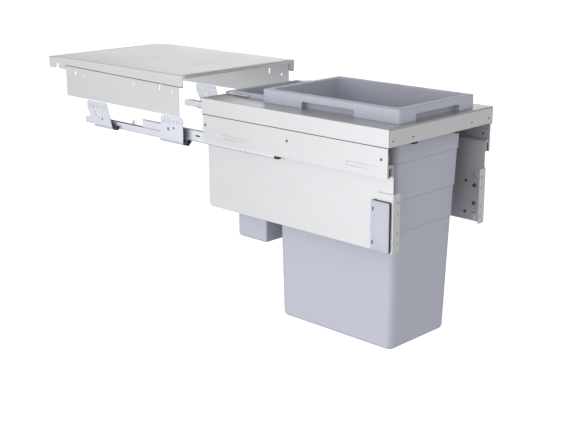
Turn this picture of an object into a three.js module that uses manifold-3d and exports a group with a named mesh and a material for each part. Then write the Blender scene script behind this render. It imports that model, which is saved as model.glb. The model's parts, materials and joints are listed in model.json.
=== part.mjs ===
// A pull-out waste-bin unit for a 400 mm kitchen base cabinet, shown pulled fully out.
//
// Millimetres, +Z up. X runs across the cabinet (left is -X), Y runs from the front into the cabinet.
// Heights below are measured from the top surface of the pull-out frame. The finished group is raised by
// half the front flange, so that the origin is the centre of the frame's front face.

import * as THREE from 'three';
import { mergeVertices } from 'three/addons/utils/BufferGeometryUtils.js';
import Module from 'manifold-3d';

// ---------------------------------------------------------------- driving dimensions

const GAP = 0.3; // between pieces that touch
const UNIT_WIDTH = 364; // inside a cabinet with 18 mm sides
const SIDE_CLEARANCE = 7; // frame to cabinet side
const TRAVEL = 582; // how far the frame runs out

// Pull-out frame
const FRAME_SHEET = 1.2;
const FRAME_FLANGE = 36;
const FRAME_REAR_LAND = 29; // small bin's rim to the frame's rear
const CORNER_RELIEF = 0.8; // slit where two flanges meet
const FLANGE_HOLE = 4.5;
const FLANGE_HOLE_DROP = 24.5;
const FLANGE_HOLE_SPACING = 62; // outer hole to inner hole
const FLANGE_HOLE_EDGE = 14; // outer hole to the frame's side
const SKIN_FRONT = 3; // the side skin starts this far behind the front face
const LEDGE_DROP = 72.4; // the shelf that carries the runner
const LIP_HEIGHT = 22.4; // above the shelf
const PANEL_FRONT = 1.5;
const PANEL_REAR_OVERHANG = 1.5;
const PANEL_BOTTOM = 254;
const PANEL_CORNER = 8;

// Runners
const RAIL_SHEET = 1.5;
const RAIL_WIDTH = 13;
const RAIL_TO_SKIN = 0.8;
const RAIL_TO_PANEL = 2.7;
const RAIL_TO_RAIL = 1.5; // drawer rail's edge to the cabinet rail's edge
const DRAWER_RAIL_HEIGHT = 23.1;
const DRAWER_RAIL_FRONT = 2;
const DRAWER_RAIL_REAR = 18; // short of the frame's rear
const MIDDLE_RAIL_PLAY = 1.2; // each side, inside the outer rails
const MIDDLE_RAIL_HEIGHT = 27;
const MIDDLE_RAIL_WALL = 1.4;
const MIDDLE_RAIL_SETBACK = 25; // behind the closed frame's front
const MIDDLE_RAIL_LENGTH = 444;
const RAIL_CAP_LENGTH = 13.7;
const CABINET_RAIL_SETBACK = 12; // behind the closed frame's front
const CABINET_RAIL_LENGTH = 394;
const UPPER_ROLLER = 3.5;
const LOWER_ROLLER = 6.1;
const CAGE_LENGTH = 200;
const CAGE_ROLLERS = 5;
const CAGE_STRIP = 1.6;
const CAGE_PLAY = 0.8; // each side, under the middle rail's width
const CAGE_OVERLAP = 10; // the cages stay this far inside the rails' ends

// Cover and side plates
const COVER_SHEET = 1.2;
const COVER_CLEARANCE = 6; // front fold to the big bin's rim
const COVER_FRONT_FOLD = 8;
const COVER_SETBACK = 10; // behind the closed frame's front
const COVER_SHORT = 1; // of the closed frame's rear
const COVER_BAND = 34; // stepped strip along the rear
const COVER_STEP = 2.5;
const COVER_REAR_FLANGE = 18;
const COVER_SIDE_FRONT = 27; // side flange height at the front
const COVER_SIDE_REAR = 18.5;
const COVER_TAIL_LENGTH = 70; // behind the side plates
const COVER_TAIL_HEIGHT = 30;
const COVER_NOTCH = 12;
const SIDE_PLATE_SETBACK = 17; // behind the cover's front
const SIDE_PLATE_BOTTOM = 52.5;
const SIDE_PLATE_LIP = 14;
const SIDE_PLATE_REAR_HOLE = 75; // in front of the plate's rear
const SIDE_PLATE_KEYHOLE = 40;

// Runner brackets
const BRACKET_SHEET = 2;
const BRACKET_BELOW_PLATE = 1.5;
const FRONT_BRACKET_SETBACK = 15; // behind the closed frame's front
const FRONT_BRACKET_LENGTH = 82;
const REAR_BRACKET_OFFSET = 265; // front bracket to rear bracket
const REAR_BRACKET_FOOT = 75;
const REAR_BRACKET_LEAN = 23;
const REAR_BRACKET_REACH = 101;
const BRACKET_SLOT = 3;
const BRACKET_SLOT_DROP = 12;
const CLIP_NOSE = 12; // in front of the bracket
const CLIP_TAIL = 10;
const CLIP_HEIGHT = 6.7;
const FINGER_SETBACK = 212; // behind the cabinet rail's front
const FINGER_LENGTH = 10;
const FINGER_HEIGHT = 25.7;
const FINGER_BASE = 11.7;

// Door brackets and their adjusters, on the lower panels
const DOOR_FLANGE_WIDTH = 21.6;
const DOOR_BRACKET_SHEET = 1.5;
const DOOR_BRACKET_FRONT = -1; // stands proud of the frame, against the cabinet door
const DOOR_BRACKET_HEIGHT = 122;
const DOOR_BRACKET_RAISED = 1; // above the panel's bottom edge
const DOOR_LEG_REAR = 41;
const DOOR_HOLE = 4.5;
const DOOR_HOLE_COUNTERSUNK = 6;
const DOOR_HOLE_INSET = 14.8; // from the leg's outer face
const DOOR_ADJUST = 2; // up and down
const CAM_Y = 24;
const CAM_BELOW_TOP = 25; // of the door bracket
const CAM_THROW = 2.83; // lifts the bracket by DOOR_ADJUST in an eighth of a turn
const CAM_HEAD = 18;
const CAM_SHAFT = 12;
const CAM_PIN = 5;
const CLAMP_SCREW_HEAD = 9;
const CLAMP_SCREW_SHANK = 5;
const CLAMP_SCREWS = { upper: 43, lower: 83 }; // below the door bracket's top
const LOCK_NUT_SIZE = 13;
const LOCK_NUT_BELOW_TOP = 110;
const ADJUSTER_COVER_DEPTH = 48;
const ADJUSTER_COVER_FRONT = 4.5;
const ADJUSTER_COVER_HEIGHT = 104;
const ADJUSTER_COVER_RAISED = 1.5; // above the panel's bottom edge
const ADJUSTER_COVER_THICKNESS = 5.5;
const ADJUSTER_COVER_WALL = 1.6;
const COVER_SCREW_Y = 46.7;
const COVER_SCREWS = { upper: 18, lower: 87.5 }; // below the adjuster cover's top
const COVER_SCREW_SHANK = 3.5;
const COVER_SCREW_HEAD = 7;

// Rivets through skin and lip
const RIVET_ABOVE_LEDGE = 11.4;
const RIVET_SHANK = 3.4;
const RIVET_HEAD = 6;
const RIVET_HEAD_HEIGHT = 0.9;
const RIVET_FRONT = 19;
const RIVET_REAR = 10; // from the frame's rear

// Bins
const BIN_CLEARANCE = 4; // frame opening to a bin's body
const SMALL_BIN_CLEARANCE = 2.5;
const BIN_SPACING = 8; // rim to rim
const BIN_WALL = 2.5;
const BIN_SKIRT = 2;
const BIG_BIN = {
  rimFront: 15,
  rimWidth: 250,
  rimDepth: 377,
  rimHeight: 30,
  rimRadius: 4,
  lip: 14.5, // rim past the body
  height: 523.5,
  radius: 15,
  taper: { side: 15, front: 19, rear: 11 },
  steps: [84, 163, 232.5], // drops at which the body narrows
  stepSize: 1.5,
};
const SMALL_BIN = {
  rimFront: BIG_BIN.rimFront + BIG_BIN.rimDepth + BIN_SPACING,
  rimWidth: 212,
  rimDepth: 109,
  rimHeight: 11,
  rimRadius: 5,
  lip: 4.5,
  height: 343,
  radius: 4,
  taper: { side: 1.5, front: 7, rear: 1.6 },
  steps: [120],
  stepSize: 1,
};
const GRIP_WIDTH = 146;
const GRIP_HEIGHT = 15;
const FLOOR_ROUNDING = 6;
const BAIL_WIRE = 4;
const BAIL_REACH = 78;
const BAIL_SPREAD = 4; // wire centre line outside the small bin's rim
const BAIL_PIVOT_FROM_REAR = 54;
const BAIL_HEIGHT = 4.5;
const BAIL_CORNER = 14;
const BAIL_STEPS = 48; // sections along the wire
const CATCH_X = 72;
const CATCH_WIDTH = 12;
const CATCH_DROP = 45;
const CATCH_FOOT = 9;

const CURVE_STEPS = 5; // straight pieces in a quarter turn of a bin corner
const SMALL_ROUND_STEPS = 10; // flats round a screw or rivet
const TINY_CURVE_STEPS = 4; // curve divisions on small holes

// ---------------------------------------------------------------- derived sizes and places

const FRAME_WIDTH = UNIT_WIDTH - 2 * SIDE_CLEARANCE;
const FRAME_DEPTH = SMALL_BIN.rimFront + SMALL_BIN.rimDepth + FRAME_REAR_LAND;

// Distances back from the frame's front face
const COVER_FRONT = TRAVEL + COVER_SETBACK;
const COVER_REAR = TRAVEL + FRAME_DEPTH - COVER_SHORT;
const SIDE_PLATE_FRONT = COVER_FRONT + SIDE_PLATE_SETBACK;
const SIDE_PLATE_REAR = COVER_REAR - COVER_TAIL_LENGTH;
const FRONT_BRACKET_Y = TRAVEL + FRONT_BRACKET_SETBACK;
const REAR_BRACKET_Y = FRONT_BRACKET_Y + REAR_BRACKET_OFFSET;
const CABINET_RAIL_FRONT = TRAVEL + CABINET_RAIL_SETBACK;
const CABINET_RAIL_REAR = CABINET_RAIL_FRONT + CABINET_RAIL_LENGTH;
const MIDDLE_RAIL_FRONT = TRAVEL / 2 + MIDDLE_RAIL_SETBACK;
const DRAWER_RAIL_END = FRAME_DEPTH - DRAWER_RAIL_REAR;

// Distances from the middle of the unit
const UNIT_SIDE = UNIT_WIDTH / 2;
const FRAME_SIDE = FRAME_WIDTH / 2;
const SKIN_OUTER = FRAME_SIDE - FRAME_SHEET - GAP;
const SKIN_INNER = SKIN_OUTER - FRAME_SHEET;
const LIP_OUTER = SKIN_INNER - GAP;
const RAIL_OUTER = SKIN_INNER - RAIL_TO_SKIN;
const RAIL_INNER = RAIL_OUTER - RAIL_WIDTH;
const RAIL_MIDDLE = (RAIL_INNER + RAIL_OUTER) / 2;
const MIDDLE_RAIL_WIDTH = RAIL_WIDTH - 2 * (RAIL_SHEET + MIDDLE_RAIL_PLAY);
const PANEL_OUTER = RAIL_INNER - RAIL_TO_PANEL;
const PANEL_INNER = PANEL_OUTER - FRAME_SHEET;
const LEG_INNER = PANEL_OUTER + GAP;
const LEG_OUTER = LEG_INNER + DOOR_BRACKET_SHEET;
const SIDE_PLATE_OUTER = UNIT_SIDE - COVER_SHEET - GAP;

// Heights above, and drops below, the frame's top
const COVER_TOP = BIG_BIN.rimHeight + COVER_CLEARANCE + COVER_FRONT_FOLD;
const DRAWER_RAIL_TOP = LEDGE_DROP + FRAME_SHEET + GAP;
const DRAWER_RAIL_BOTTOM = DRAWER_RAIL_TOP + DRAWER_RAIL_HEIGHT;
const SKIN_BOTTOM = DRAWER_RAIL_BOTTOM + RAIL_TO_RAIL;
const MIDDLE_RAIL_TOP = DRAWER_RAIL_TOP + RAIL_SHEET + UPPER_ROLLER + 2 * GAP;
const MIDDLE_RAIL_BOTTOM = MIDDLE_RAIL_TOP + MIDDLE_RAIL_HEIGHT;
const CABINET_RAIL_TOP = DRAWER_RAIL_BOTTOM + RAIL_TO_RAIL;
const CABINET_RAIL_BOTTOM = MIDDLE_RAIL_BOTTOM + LOWER_ROLLER + 2 * GAP + RAIL_SHEET;
const BRACKET_TOP = SIDE_PLATE_BOTTOM + BRACKET_BELOW_PLATE;
const BRACKET_FOOT = CABINET_RAIL_BOTTOM + GAP + BRACKET_SHEET;
const LIP_TOP = LEDGE_DROP - LIP_HEIGHT;
const RIVET_DROP = LEDGE_DROP - RIVET_ABOVE_LEDGE;
const DOOR_BRACKET_BOTTOM = PANEL_BOTTOM - DOOR_BRACKET_RAISED;
const DOOR_BRACKET_TOP = DOOR_BRACKET_BOTTOM - DOOR_BRACKET_HEIGHT;
const CAM_DROP = DOOR_BRACKET_TOP + CAM_BELOW_TOP;
const LOCK_NUT_DROP = DOOR_BRACKET_TOP + LOCK_NUT_BELOW_TOP;
const ADJUSTER_COVER_BOTTOM = PANEL_BOTTOM - ADJUSTER_COVER_RAISED;
const ADJUSTER_COVER_TOP = ADJUSTER_COVER_BOTTOM - ADJUSTER_COVER_HEIGHT;

const RIVETS = { front: RIVET_FRONT, middle: FRAME_DEPTH / 2 + 4, rear: FRAME_DEPTH - RIVET_REAR };
const clampScrewDrops = Object.entries(CLAMP_SCREWS).map(([where, below]) => [where, DOOR_BRACKET_TOP + below]);
const coverScrewDrops = Object.entries(COVER_SCREWS).map(([where, below]) => [where, ADJUSTER_COVER_TOP + below]);

// ---------------------------------------------------------------- geometry helpers

const wasm = await Module();
wasm.setup();

function toSolid(geometry) {
  const bare = geometry.clone();
  bare.deleteAttribute('normal');
  bare.deleteAttribute('uv');
  const merged = mergeVertices(bare);
  const vertProperties = new Float32Array(merged.attributes.position.array);
  const triVerts = new Uint32Array(merged.index.array);
  return new wasm.Manifold(new wasm.Mesh({ numProp: 3, vertProperties, triVerts }));
}

function toGeometry(solid) {
  const mesh = solid.getMesh();
  const geometry = new THREE.BufferGeometry();
  geometry.setAttribute('position', new THREE.BufferAttribute(new Float32Array(mesh.vertProperties), 3));
  geometry.setIndex(new THREE.BufferAttribute(new Uint32Array(mesh.triVerts), 1));
  geometry.computeVertexNormals();
  return geometry;
}

function join(...geometries) {
  const [first, ...rest] = geometries.map(toSolid);
  return toGeometry(rest.reduce((sum, solid) => sum.add(solid), first));
}

function cut(geometry, ...tools) {
  return toGeometry(tools.map(toSolid).reduce((left, tool) => left.subtract(tool), toSolid(geometry)));
}

// A box between two values on each axis, given in either order.
function block([x0, x1], [y0, y1], [z0, z1]) {
  const geometry = new THREE.BoxGeometry(Math.abs(x1 - x0), Math.abs(y1 - y0), Math.abs(z1 - z0));
  geometry.translate((x0 + x1) / 2, (y0 + y1) / 2, (z0 + z1) / 2);
  return geometry;
}

// A flat outline with holes, given thickness along X, Y or Z. Its own axes are (Y, Z), (X, Z) or (X, Y).
const PLANES = {
  x: new THREE.Matrix4().set(0, 0, 1, 0, 1, 0, 0, 0, 0, 1, 0, 0, 0, 0, 0, 1),
  y: new THREE.Matrix4().set(1, 0, 0, 0, 0, 0, -1, 0, 0, 1, 0, 0, 0, 0, 0, 1),
  z: new THREE.Matrix4(),
};

function plate(axis, [a, b], shape) {
  const geometry = new THREE.ExtrudeGeometry(shape, {
    depth: Math.abs(b - a),
    bevelEnabled: false,
    curveSegments: TINY_CURVE_STEPS,
  });
  geometry.applyMatrix4(PLANES[axis]);
  const start = axis === 'y' ? Math.max(a, b) : Math.min(a, b);
  geometry.translate(axis === 'x' ? start : 0, axis === 'y' ? start : 0, axis === 'z' ? start : 0);
  return geometry;
}

// A closed outline through points [u, v] or [u, v, fillet].
function polygon(points, holes = []) {
  const shape = new THREE.Shape();
  points.forEach(([u, v, fillet = 0], i) => {
    const corner = new THREE.Vector2(u, v);
    const before = new THREE.Vector2(...points[(i + points.length - 1) % points.length]);
    const after = new THREE.Vector2(...points[(i + 1) % points.length]);
    const enter = corner.clone().add(before.sub(corner).setLength(fillet));
    const leave = corner.clone().add(after.sub(corner).setLength(fillet));
    if (i === 0) shape.moveTo(enter.x, enter.y);
    else shape.lineTo(enter.x, enter.y);
    if (fillet > 0) shape.quadraticCurveTo(u, v, leave.x, leave.y);
  });
  shape.holes.push(...holes);
  return shape;
}

function rectangle([u0, u1], [v0, v1], fillet = 0, holes = []) {
  return polygon([[u0, v0, fillet], [u1, v0, fillet], [u1, v1, fillet], [u0, v1, fillet]], holes);
}

// A round hole whose flats, not its corners, lie on the circle, so that a shaft's clearance holds all round.
function round(u, v, diameter) {
  const radius = diameter / 2 / Math.cos(Math.PI / (2 * TINY_CURVE_STEPS));
  return new THREE.Path().absarc(u, v, radius, 0, 2 * Math.PI, true);
}

// A slot with round ends, turned by an angle from the first axis.
function slot(u, v, length, width, angle = 0) {
  const reach = (length - width) / 2;
  const du = Math.cos(angle) * reach;
  const dv = Math.sin(angle) * reach;
  const path = new THREE.Path();
  path.absarc(u + du, v + dv, width / 2, angle + Math.PI / 2, angle - Math.PI / 2, true);
  path.absarc(u - du, v - dv, width / 2, angle - Math.PI / 2, angle - 3 * Math.PI / 2, true);
  path.closePath();
  return path;
}

// A round hole with a narrow slot standing on it.
function keyhole(u, v, diameter, neck, height) {
  const bite = Math.asin(neck / diameter);
  const path = new THREE.Path();
  path.absarc(u, v, diameter / 2, Math.PI / 2 - bite, Math.PI / 2 + bite, true);
  path.absarc(u, v + height - neck / 2, neck / 2, Math.PI, 0, true);
  path.closePath();
  return path;
}

// A round bar along X, from a profile of [radius, distance from the centre line of the unit].
function turned(side, profile, y, z) {
  const points = profile.map(([radius, x]) => new THREE.Vector2(radius, x));
  const geometry = new THREE.LatheGeometry(points, SMALL_ROUND_STEPS);
  geometry.rotateZ(-Math.PI / 2);
  if (side < 0) geometry.rotateZ(Math.PI);
  geometry.translate(0, y, z);
  return geometry;
}

// One level of a bin: a rounded rectangle at height z, as points that run anticlockwise from above.
function level({ half, front, rear, z, radius }) {
  const corners = [
    [half - radius, front + radius, -Math.PI / 2],
    [half - radius, rear - radius, 0],
    [radius - half, rear - radius, Math.PI / 2],
    [radius - half, front + radius, Math.PI],
  ];
  return corners.flatMap(([x, y, start]) => Array.from({ length: CURVE_STEPS + 1 }, (_, i) => {
    const angle = start + (i / CURVE_STEPS) * (Math.PI / 2);
    return [x + radius * Math.cos(angle), y + radius * Math.sin(angle), z];
  }));
}

// A closed skin over levels that run from the outside of the floor, round the rim, to the inside floor.
function loft(levels) {
  const rings = levels.map(level);
  const count = rings[0].length;
  const positions = rings.flat(2);
  const index = [];
  for (let ring = 0; ring + 1 < rings.length; ring += 1) {
    for (let i = 0; i < count; i += 1) {
      const next = (i + 1) % count;
      const [a, b] = [ring * count + i, ring * count + next];
      index.push(a, b, b + count, a, b + count, a + count);
    }
  }
  const last = (rings.length - 1) * count;
  for (let i = 1; i + 1 < count; i += 1) {
    index.push(0, i + 1, i);
    index.push(last, last + i, last + i + 1);
  }
  const geometry = new THREE.BufferGeometry();
  geometry.setAttribute('position', new THREE.Float32BufferAttribute(positions, 3));
  geometry.setIndex(index);
  return geometry;
}

// ---------------------------------------------------------------- finishes and the scene graph

function finish(color, roughness, metalness) {
  return new THREE.MeshStandardMaterial({ color, roughness, metalness });
}

const SHEET_STEEL = finish(0xd8d8d6, 0.42, 0.6);
const ZINC_STEEL = finish(0xd7dbe6, 0.35, 0.8);
const DARK_STEEL = finish(0x4a4a50, 0.4, 0.8);
const BIN_PLASTIC = finish(0xc2c4d4, 0.5, 0);
const BLACK_PLASTIC = finish(0x1f2024, 0.55, 0);
const WHITE_PLASTIC = finish(0xe4e4e2, 0.5, 0);

const unit = new THREE.Group();
const fixed = new THREE.Group();
const slides = new THREE.Group();
const pullout = new THREE.Group();
const bins = new THREE.Group();
unit.add(fixed, slides, pullout, bins);
unit.position.z = FRAME_FLANGE / 2;

function place(parent, name, geometry, material) {
  const mesh = new THREE.Mesh(geometry, material);
  mesh.name = name;
  parent.add(mesh);
}

const SIDES = Object.entries({ left: -1, right: 1 });

// ---------------------------------------------------------------- fixed in the cabinet

function coverPlate() {
  const bandFront = COVER_REAR - COVER_BAND;
  const under = COVER_TOP - COVER_SHEET;
  const bandTop = COVER_TOP - COVER_STEP;
  const tailBottom = COVER_TOP - COVER_TAIL_HEIGHT;
  const notchFront = bandFront - COVER_NOTCH / 2;
  const across = [-UNIT_SIDE, UNIT_SIDE];
  const top = plate('z', [under, COVER_TOP], rectangle(across, [COVER_FRONT, bandFront + COVER_SHEET]));
  const riser = block(across, [bandFront, bandFront + COVER_SHEET], [bandTop - COVER_SHEET, COVER_TOP]);
  const band = block(across, [bandFront, COVER_REAR], [bandTop - COVER_SHEET, bandTop]);
  const rear = block(across, [COVER_REAR - COVER_SHEET, COVER_REAR], [bandTop - COVER_REAR_FLANGE, bandTop]);
  const front = block(across, [COVER_FRONT, COVER_FRONT + COVER_SHEET], [COVER_TOP - COVER_FRONT_FOLD, COVER_TOP]);
  const flange = polygon([
    [COVER_FRONT, COVER_TOP],
    [COVER_FRONT, COVER_TOP - COVER_SIDE_FRONT, 6],
    [SIDE_PLATE_REAR, COVER_TOP - COVER_SIDE_REAR],
    [SIDE_PLATE_REAR, tailBottom],
    [notchFront, tailBottom],
    [notchFront, tailBottom + COVER_NOTCH],
    [notchFront + COVER_NOTCH, tailBottom + COVER_NOTCH],
    [notchFront + COVER_NOTCH, tailBottom],
    [COVER_REAR, tailBottom],
    [COVER_REAR, bandTop],
    [bandFront, bandTop],
    [bandFront, COVER_TOP],
  ]);
  const flanges = SIDES.map(([, s]) => plate('x', [s * (UNIT_SIDE - COVER_SHEET), s * UNIT_SIDE], flange));
  return join(top, riser, band, rear, front, ...flanges);
}

function sidePlate(side) {
  const top = COVER_TOP - COVER_SHEET - GAP;
  const at = (setback) => SIDE_PLATE_FRONT + setback;
  const fromRear = (distance) => SIDE_PLATE_REAR - distance;
  const holes = [
    round(at(25), 3, 6),
    slot(at(68.5), 8, 15, 5, Math.PI / 2),
    round(at(167), 4, 6),
    round(fromRear(SIDE_PLATE_REAR_HOLE), 3.4, 6),
    keyhole(fromRear(SIDE_PLATE_KEYHOLE), 7, 8, 4.5, 12),
  ];
  const outline = rectangle([SIDE_PLATE_FRONT, SIDE_PLATE_REAR], [-SIDE_PLATE_BOTTOM, top], 0, holes);
  const web = plate('x', [side * (SIDE_PLATE_OUTER - COVER_SHEET), side * SIDE_PLATE_OUTER], outline);
  const lip = block(
    [side * (SIDE_PLATE_OUTER - SIDE_PLATE_LIP), side * SIDE_PLATE_OUTER],
    [SIDE_PLATE_FRONT, SIDE_PLATE_REAR],
    [top - COVER_SHEET, top],
  );
  return join(web, lip);
}

// A row of upright adjusting slots, one of them taller. Offsets are from the bracket's front.
function slotRow(front, offsets, tall) {
  const z = -(BRACKET_TOP + BRACKET_SLOT_DROP);
  return offsets.map((offset, i) => slot(front + offset, z, i === tall ? 13 : 8, BRACKET_SLOT, Math.PI / 2));
}

function runnerBracket(side, outline, footFront, footRear) {
  const web = plate('x', [side * (UNIT_SIDE - BRACKET_SHEET), side * UNIT_SIDE], outline);
  const foot = block(
    [side * RAIL_INNER, side * UNIT_SIDE],
    [footFront, footRear],
    [-BRACKET_FOOT, BRACKET_SHEET - BRACKET_FOOT],
  );
  return join(web, foot);
}

function frontRunnerBracket(side) {
  const front = FRONT_BRACKET_Y;
  const rear = front + FRONT_BRACKET_LENGTH;
  const holes = slotRow(front, [12, 21, 31, 45, 54, 63.5, 73], 3);
  holes.push(round(front + 32, -BRACKET_TOP - 27, 6), round(front + 51, -BRACKET_TOP - 31, 8));
  const outline = polygon([
    [front, -BRACKET_FOOT],
    [rear, -BRACKET_FOOT],
    [rear - 6, -BRACKET_TOP, 5],
    [front, -BRACKET_TOP, 9],
  ], holes);
  return runnerBracket(side, outline, front, rear);
}

function rearRunnerBracket(side) {
  const front = REAR_BRACKET_Y;
  const holes = slotRow(front, [29, 38.5, 49, 59, 75, 84, 93], 4);
  holes.push(round(front + 41, -BRACKET_TOP - 41, 6), slot(front + 62, -BRACKET_TOP - 32, 20, 4, Math.PI / 4));
  const outline = polygon([
    [front, -BRACKET_FOOT],
    [front + REAR_BRACKET_FOOT, -BRACKET_FOOT],
    [front + REAR_BRACKET_FOOT + 11, -BRACKET_TOP - 40, 4],
    [front + REAR_BRACKET_REACH, -BRACKET_TOP - 21, 4],
    [front + REAR_BRACKET_REACH, -BRACKET_TOP, 5],
    [front + REAR_BRACKET_LEAN, -BRACKET_TOP, 5],
  ], holes);
  return runnerBracket(side, outline, front, front + REAR_BRACKET_FOOT);
}

function cabinetRail(side) {
  const rail = block(
    [side * RAIL_INNER, side * RAIL_OUTER],
    [CABINET_RAIL_FRONT, CABINET_RAIL_REAR],
    [-CABINET_RAIL_BOTTOM, -CABINET_RAIL_TOP],
  );
  const channel = block(
    [side * (RAIL_INNER + RAIL_SHEET), side * (RAIL_OUTER - RAIL_SHEET)],
    [CABINET_RAIL_FRONT - 1, CABINET_RAIL_REAR + 1],
    [RAIL_SHEET - CABINET_RAIL_BOTTOM, 1 - CABINET_RAIL_TOP],
  );
  return cut(rail, channel);
}

// Plastic clip that locks the cabinet rail to a bracket. Its nose hooks in front of the bracket's foot.
function railClip(side, bracketFront) {
  const outer = UNIT_SIDE - BRACKET_SHEET - GAP;
  const footTop = BRACKET_SHEET - BRACKET_FOOT + GAP;
  const front = bracketFront - CLIP_NOSE;
  const body = block(
    [side * (RAIL_OUTER + GAP), side * outer],
    [front, bracketFront + CLIP_TAIL],
    [footTop, footTop + CLIP_HEIGHT],
  );
  const nose = block(
    [side * (RAIL_OUTER + GAP), side * outer],
    [front, bracketFront - GAP],
    [-BRACKET_FOOT, footTop + 1],
  );
  return join(body, nose);
}

// Upright plastic finger on the cabinet rail's inner wall, which starts the soft closing.
function railCatch(side) {
  const inner = [side * (PANEL_OUTER + GAP), side * (RAIL_INNER - GAP)];
  const front = CABINET_RAIL_FRONT + FINGER_SETBACK;
  const rear = front + FINGER_LENGTH;
  const bottom = -CABINET_RAIL_BOTTOM;
  const finger = block(inner, [front, rear], [bottom, bottom + FINGER_HEIGHT]);
  const base = block(inner, [front - FINGER_LENGTH, rear + FINGER_LENGTH], [bottom, bottom + FINGER_BASE]);
  return join(finger, base);
}

place(fixed, 'cover_plate', coverPlate(), SHEET_STEEL);
for (const [word, side] of SIDES) {
  place(fixed, `side_plate_${word}`, sidePlate(side), SHEET_STEEL);
  place(fixed, `runner_bracket_front_${word}`, frontRunnerBracket(side), ZINC_STEEL);
  place(fixed, `runner_bracket_rear_${word}`, rearRunnerBracket(side), ZINC_STEEL);
  place(fixed, `cabinet_rail_${word}`, cabinetRail(side), ZINC_STEEL);
  place(fixed, `rail_clip_front_${word}`, railClip(side, FRONT_BRACKET_Y), BLACK_PLASTIC);
  place(fixed, `rail_clip_rear_${word}`, railClip(side, REAR_BRACKET_Y), BLACK_PLASTIC);
  place(fixed, `rail_catch_${word}`, railCatch(side), WHITE_PLASTIC);
}

// ---------------------------------------------------------------- telescopic slides

function middleRail(side) {
  const half = MIDDLE_RAIL_WIDTH / 2;
  const centre = side * RAIL_MIDDLE;
  const rear = MIDDLE_RAIL_FRONT + MIDDLE_RAIL_LENGTH;
  const inside = half - MIDDLE_RAIL_WALL;
  const across = [centre - half, centre + half];
  const tube = block(across, [MIDDLE_RAIL_FRONT, rear], [-MIDDLE_RAIL_BOTTOM, -MIDDLE_RAIL_TOP]);
  const bore = block(
    [centre - inside, centre + inside],
    [MIDDLE_RAIL_FRONT - 1, rear + 1],
    [MIDDLE_RAIL_WALL - MIDDLE_RAIL_BOTTOM, -MIDDLE_RAIL_WALL - MIDDLE_RAIL_TOP],
  );
  const opening = new THREE.Shape(slot(MIDDLE_RAIL_FRONT + 244, -92, 15, 3.5).getPoints(TINY_CURVE_STEPS));
  const window = plate('x', [centre, centre + side * 2 * half], opening);
  return cut(tube, bore, window);
}

function middleRailCap(side) {
  const half = MIDDLE_RAIL_WIDTH / 2;
  const rear = MIDDLE_RAIL_FRONT - GAP;
  const outline = polygon([
    [rear, -MIDDLE_RAIL_BOTTOM],
    [rear, -MIDDLE_RAIL_TOP],
    [rear - RAIL_CAP_LENGTH, -MIDDLE_RAIL_TOP - 4, 3],
    [rear - RAIL_CAP_LENGTH, -MIDDLE_RAIL_BOTTOM, 3],
  ]);
  return plate('x', [side * RAIL_MIDDLE - half, side * RAIL_MIDDLE + half], outline);
}

// A strip of rollers that runs between two rails.
function rollerCage(side, front, top, bottom) {
  const half = MIDDLE_RAIL_WIDTH / 2 - CAGE_PLAY;
  const middle = -(top + bottom) / 2;
  const pitch = CAGE_LENGTH / CAGE_ROLLERS;
  const x = [side * RAIL_MIDDLE - half, side * RAIL_MIDDLE + half];
  const strip = block(x, [front, front + CAGE_LENGTH], [middle - CAGE_STRIP / 2, middle + CAGE_STRIP / 2]);
  const rollers = Array.from({ length: CAGE_ROLLERS }, (_, i) => {
    const outline = new THREE.Shape().absarc(front + (i + 0.5) * pitch, middle, (bottom - top) / 2, 0, 2 * Math.PI);
    return plate('x', x, outline);
  });
  return join(strip, ...rollers);
}

for (const [word, side] of SIDES) {
  place(slides, `middle_rail_${word}`, middleRail(side), ZINC_STEEL);
  place(slides, `middle_rail_cap_${word}`, middleRailCap(side), BLACK_PLASTIC);
  const lower = [MIDDLE_RAIL_BOTTOM + GAP, CABINET_RAIL_BOTTOM - RAIL_SHEET - GAP];
  const lowerFront = CABINET_RAIL_FRONT + CAGE_OVERLAP;
  place(slides, `lower_roller_cage_${word}`, rollerCage(side, lowerFront, ...lower), WHITE_PLASTIC);
  const upper = [DRAWER_RAIL_TOP + RAIL_SHEET + GAP, MIDDLE_RAIL_TOP - GAP];
  const upperFront = DRAWER_RAIL_END - CAGE_OVERLAP - CAGE_LENGTH;
  place(slides, `upper_roller_cage_${word}`, rollerCage(side, upperFront, ...upper), WHITE_PLASTIC);
}

// ---------------------------------------------------------------- pull-out frame

// Where each bin passes through the frame's top sheet.
function binOpening(bin, clearance) {
  const half = bin.rimWidth / 2 - bin.lip + clearance;
  const front = bin.rimFront + bin.lip - clearance;
  const rear = bin.rimFront + bin.rimDepth - bin.lip + clearance;
  return rectangle([-half, half], [front, rear], bin.radius * 0.75);
}

function binFrame() {
  const openings = [binOpening(BIG_BIN, BIN_CLEARANCE), binOpening(SMALL_BIN, SMALL_BIN_CLEARANCE)];
  const sheet = rectangle([-FRAME_SIDE, FRAME_SIDE], [0, FRAME_DEPTH], 0, openings);
  const top = plate('z', [-FRAME_SHEET, 0], sheet);
  const tall = [-FRAME_FLANGE, 0];
  const sides = SIDES.map(([, s]) => block([s * (FRAME_SIDE - FRAME_SHEET), s * FRAME_SIDE], [0, FRAME_DEPTH], tall));
  const flangeSide = FRAME_SIDE - FRAME_SHEET - CORNER_RELIEF;
  const outer = FRAME_SIDE - FLANGE_HOLE_EDGE;
  const holes = [-outer, FLANGE_HOLE_SPACING - outer, outer - FLANGE_HOLE_SPACING, outer];
  const face = rectangle(
    [-flangeSide, flangeSide],
    tall,
    0,
    holes.map((x) => round(x, -FLANGE_HOLE_DROP, FLANGE_HOLE)),
  );
  const front = plate('y', [0, FRAME_SHEET], face);
  const rear = block([-flangeSide, flangeSide], [FRAME_DEPTH - FRAME_SHEET, FRAME_DEPTH], tall);
  return join(top, front, rear, ...sides);
}

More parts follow.
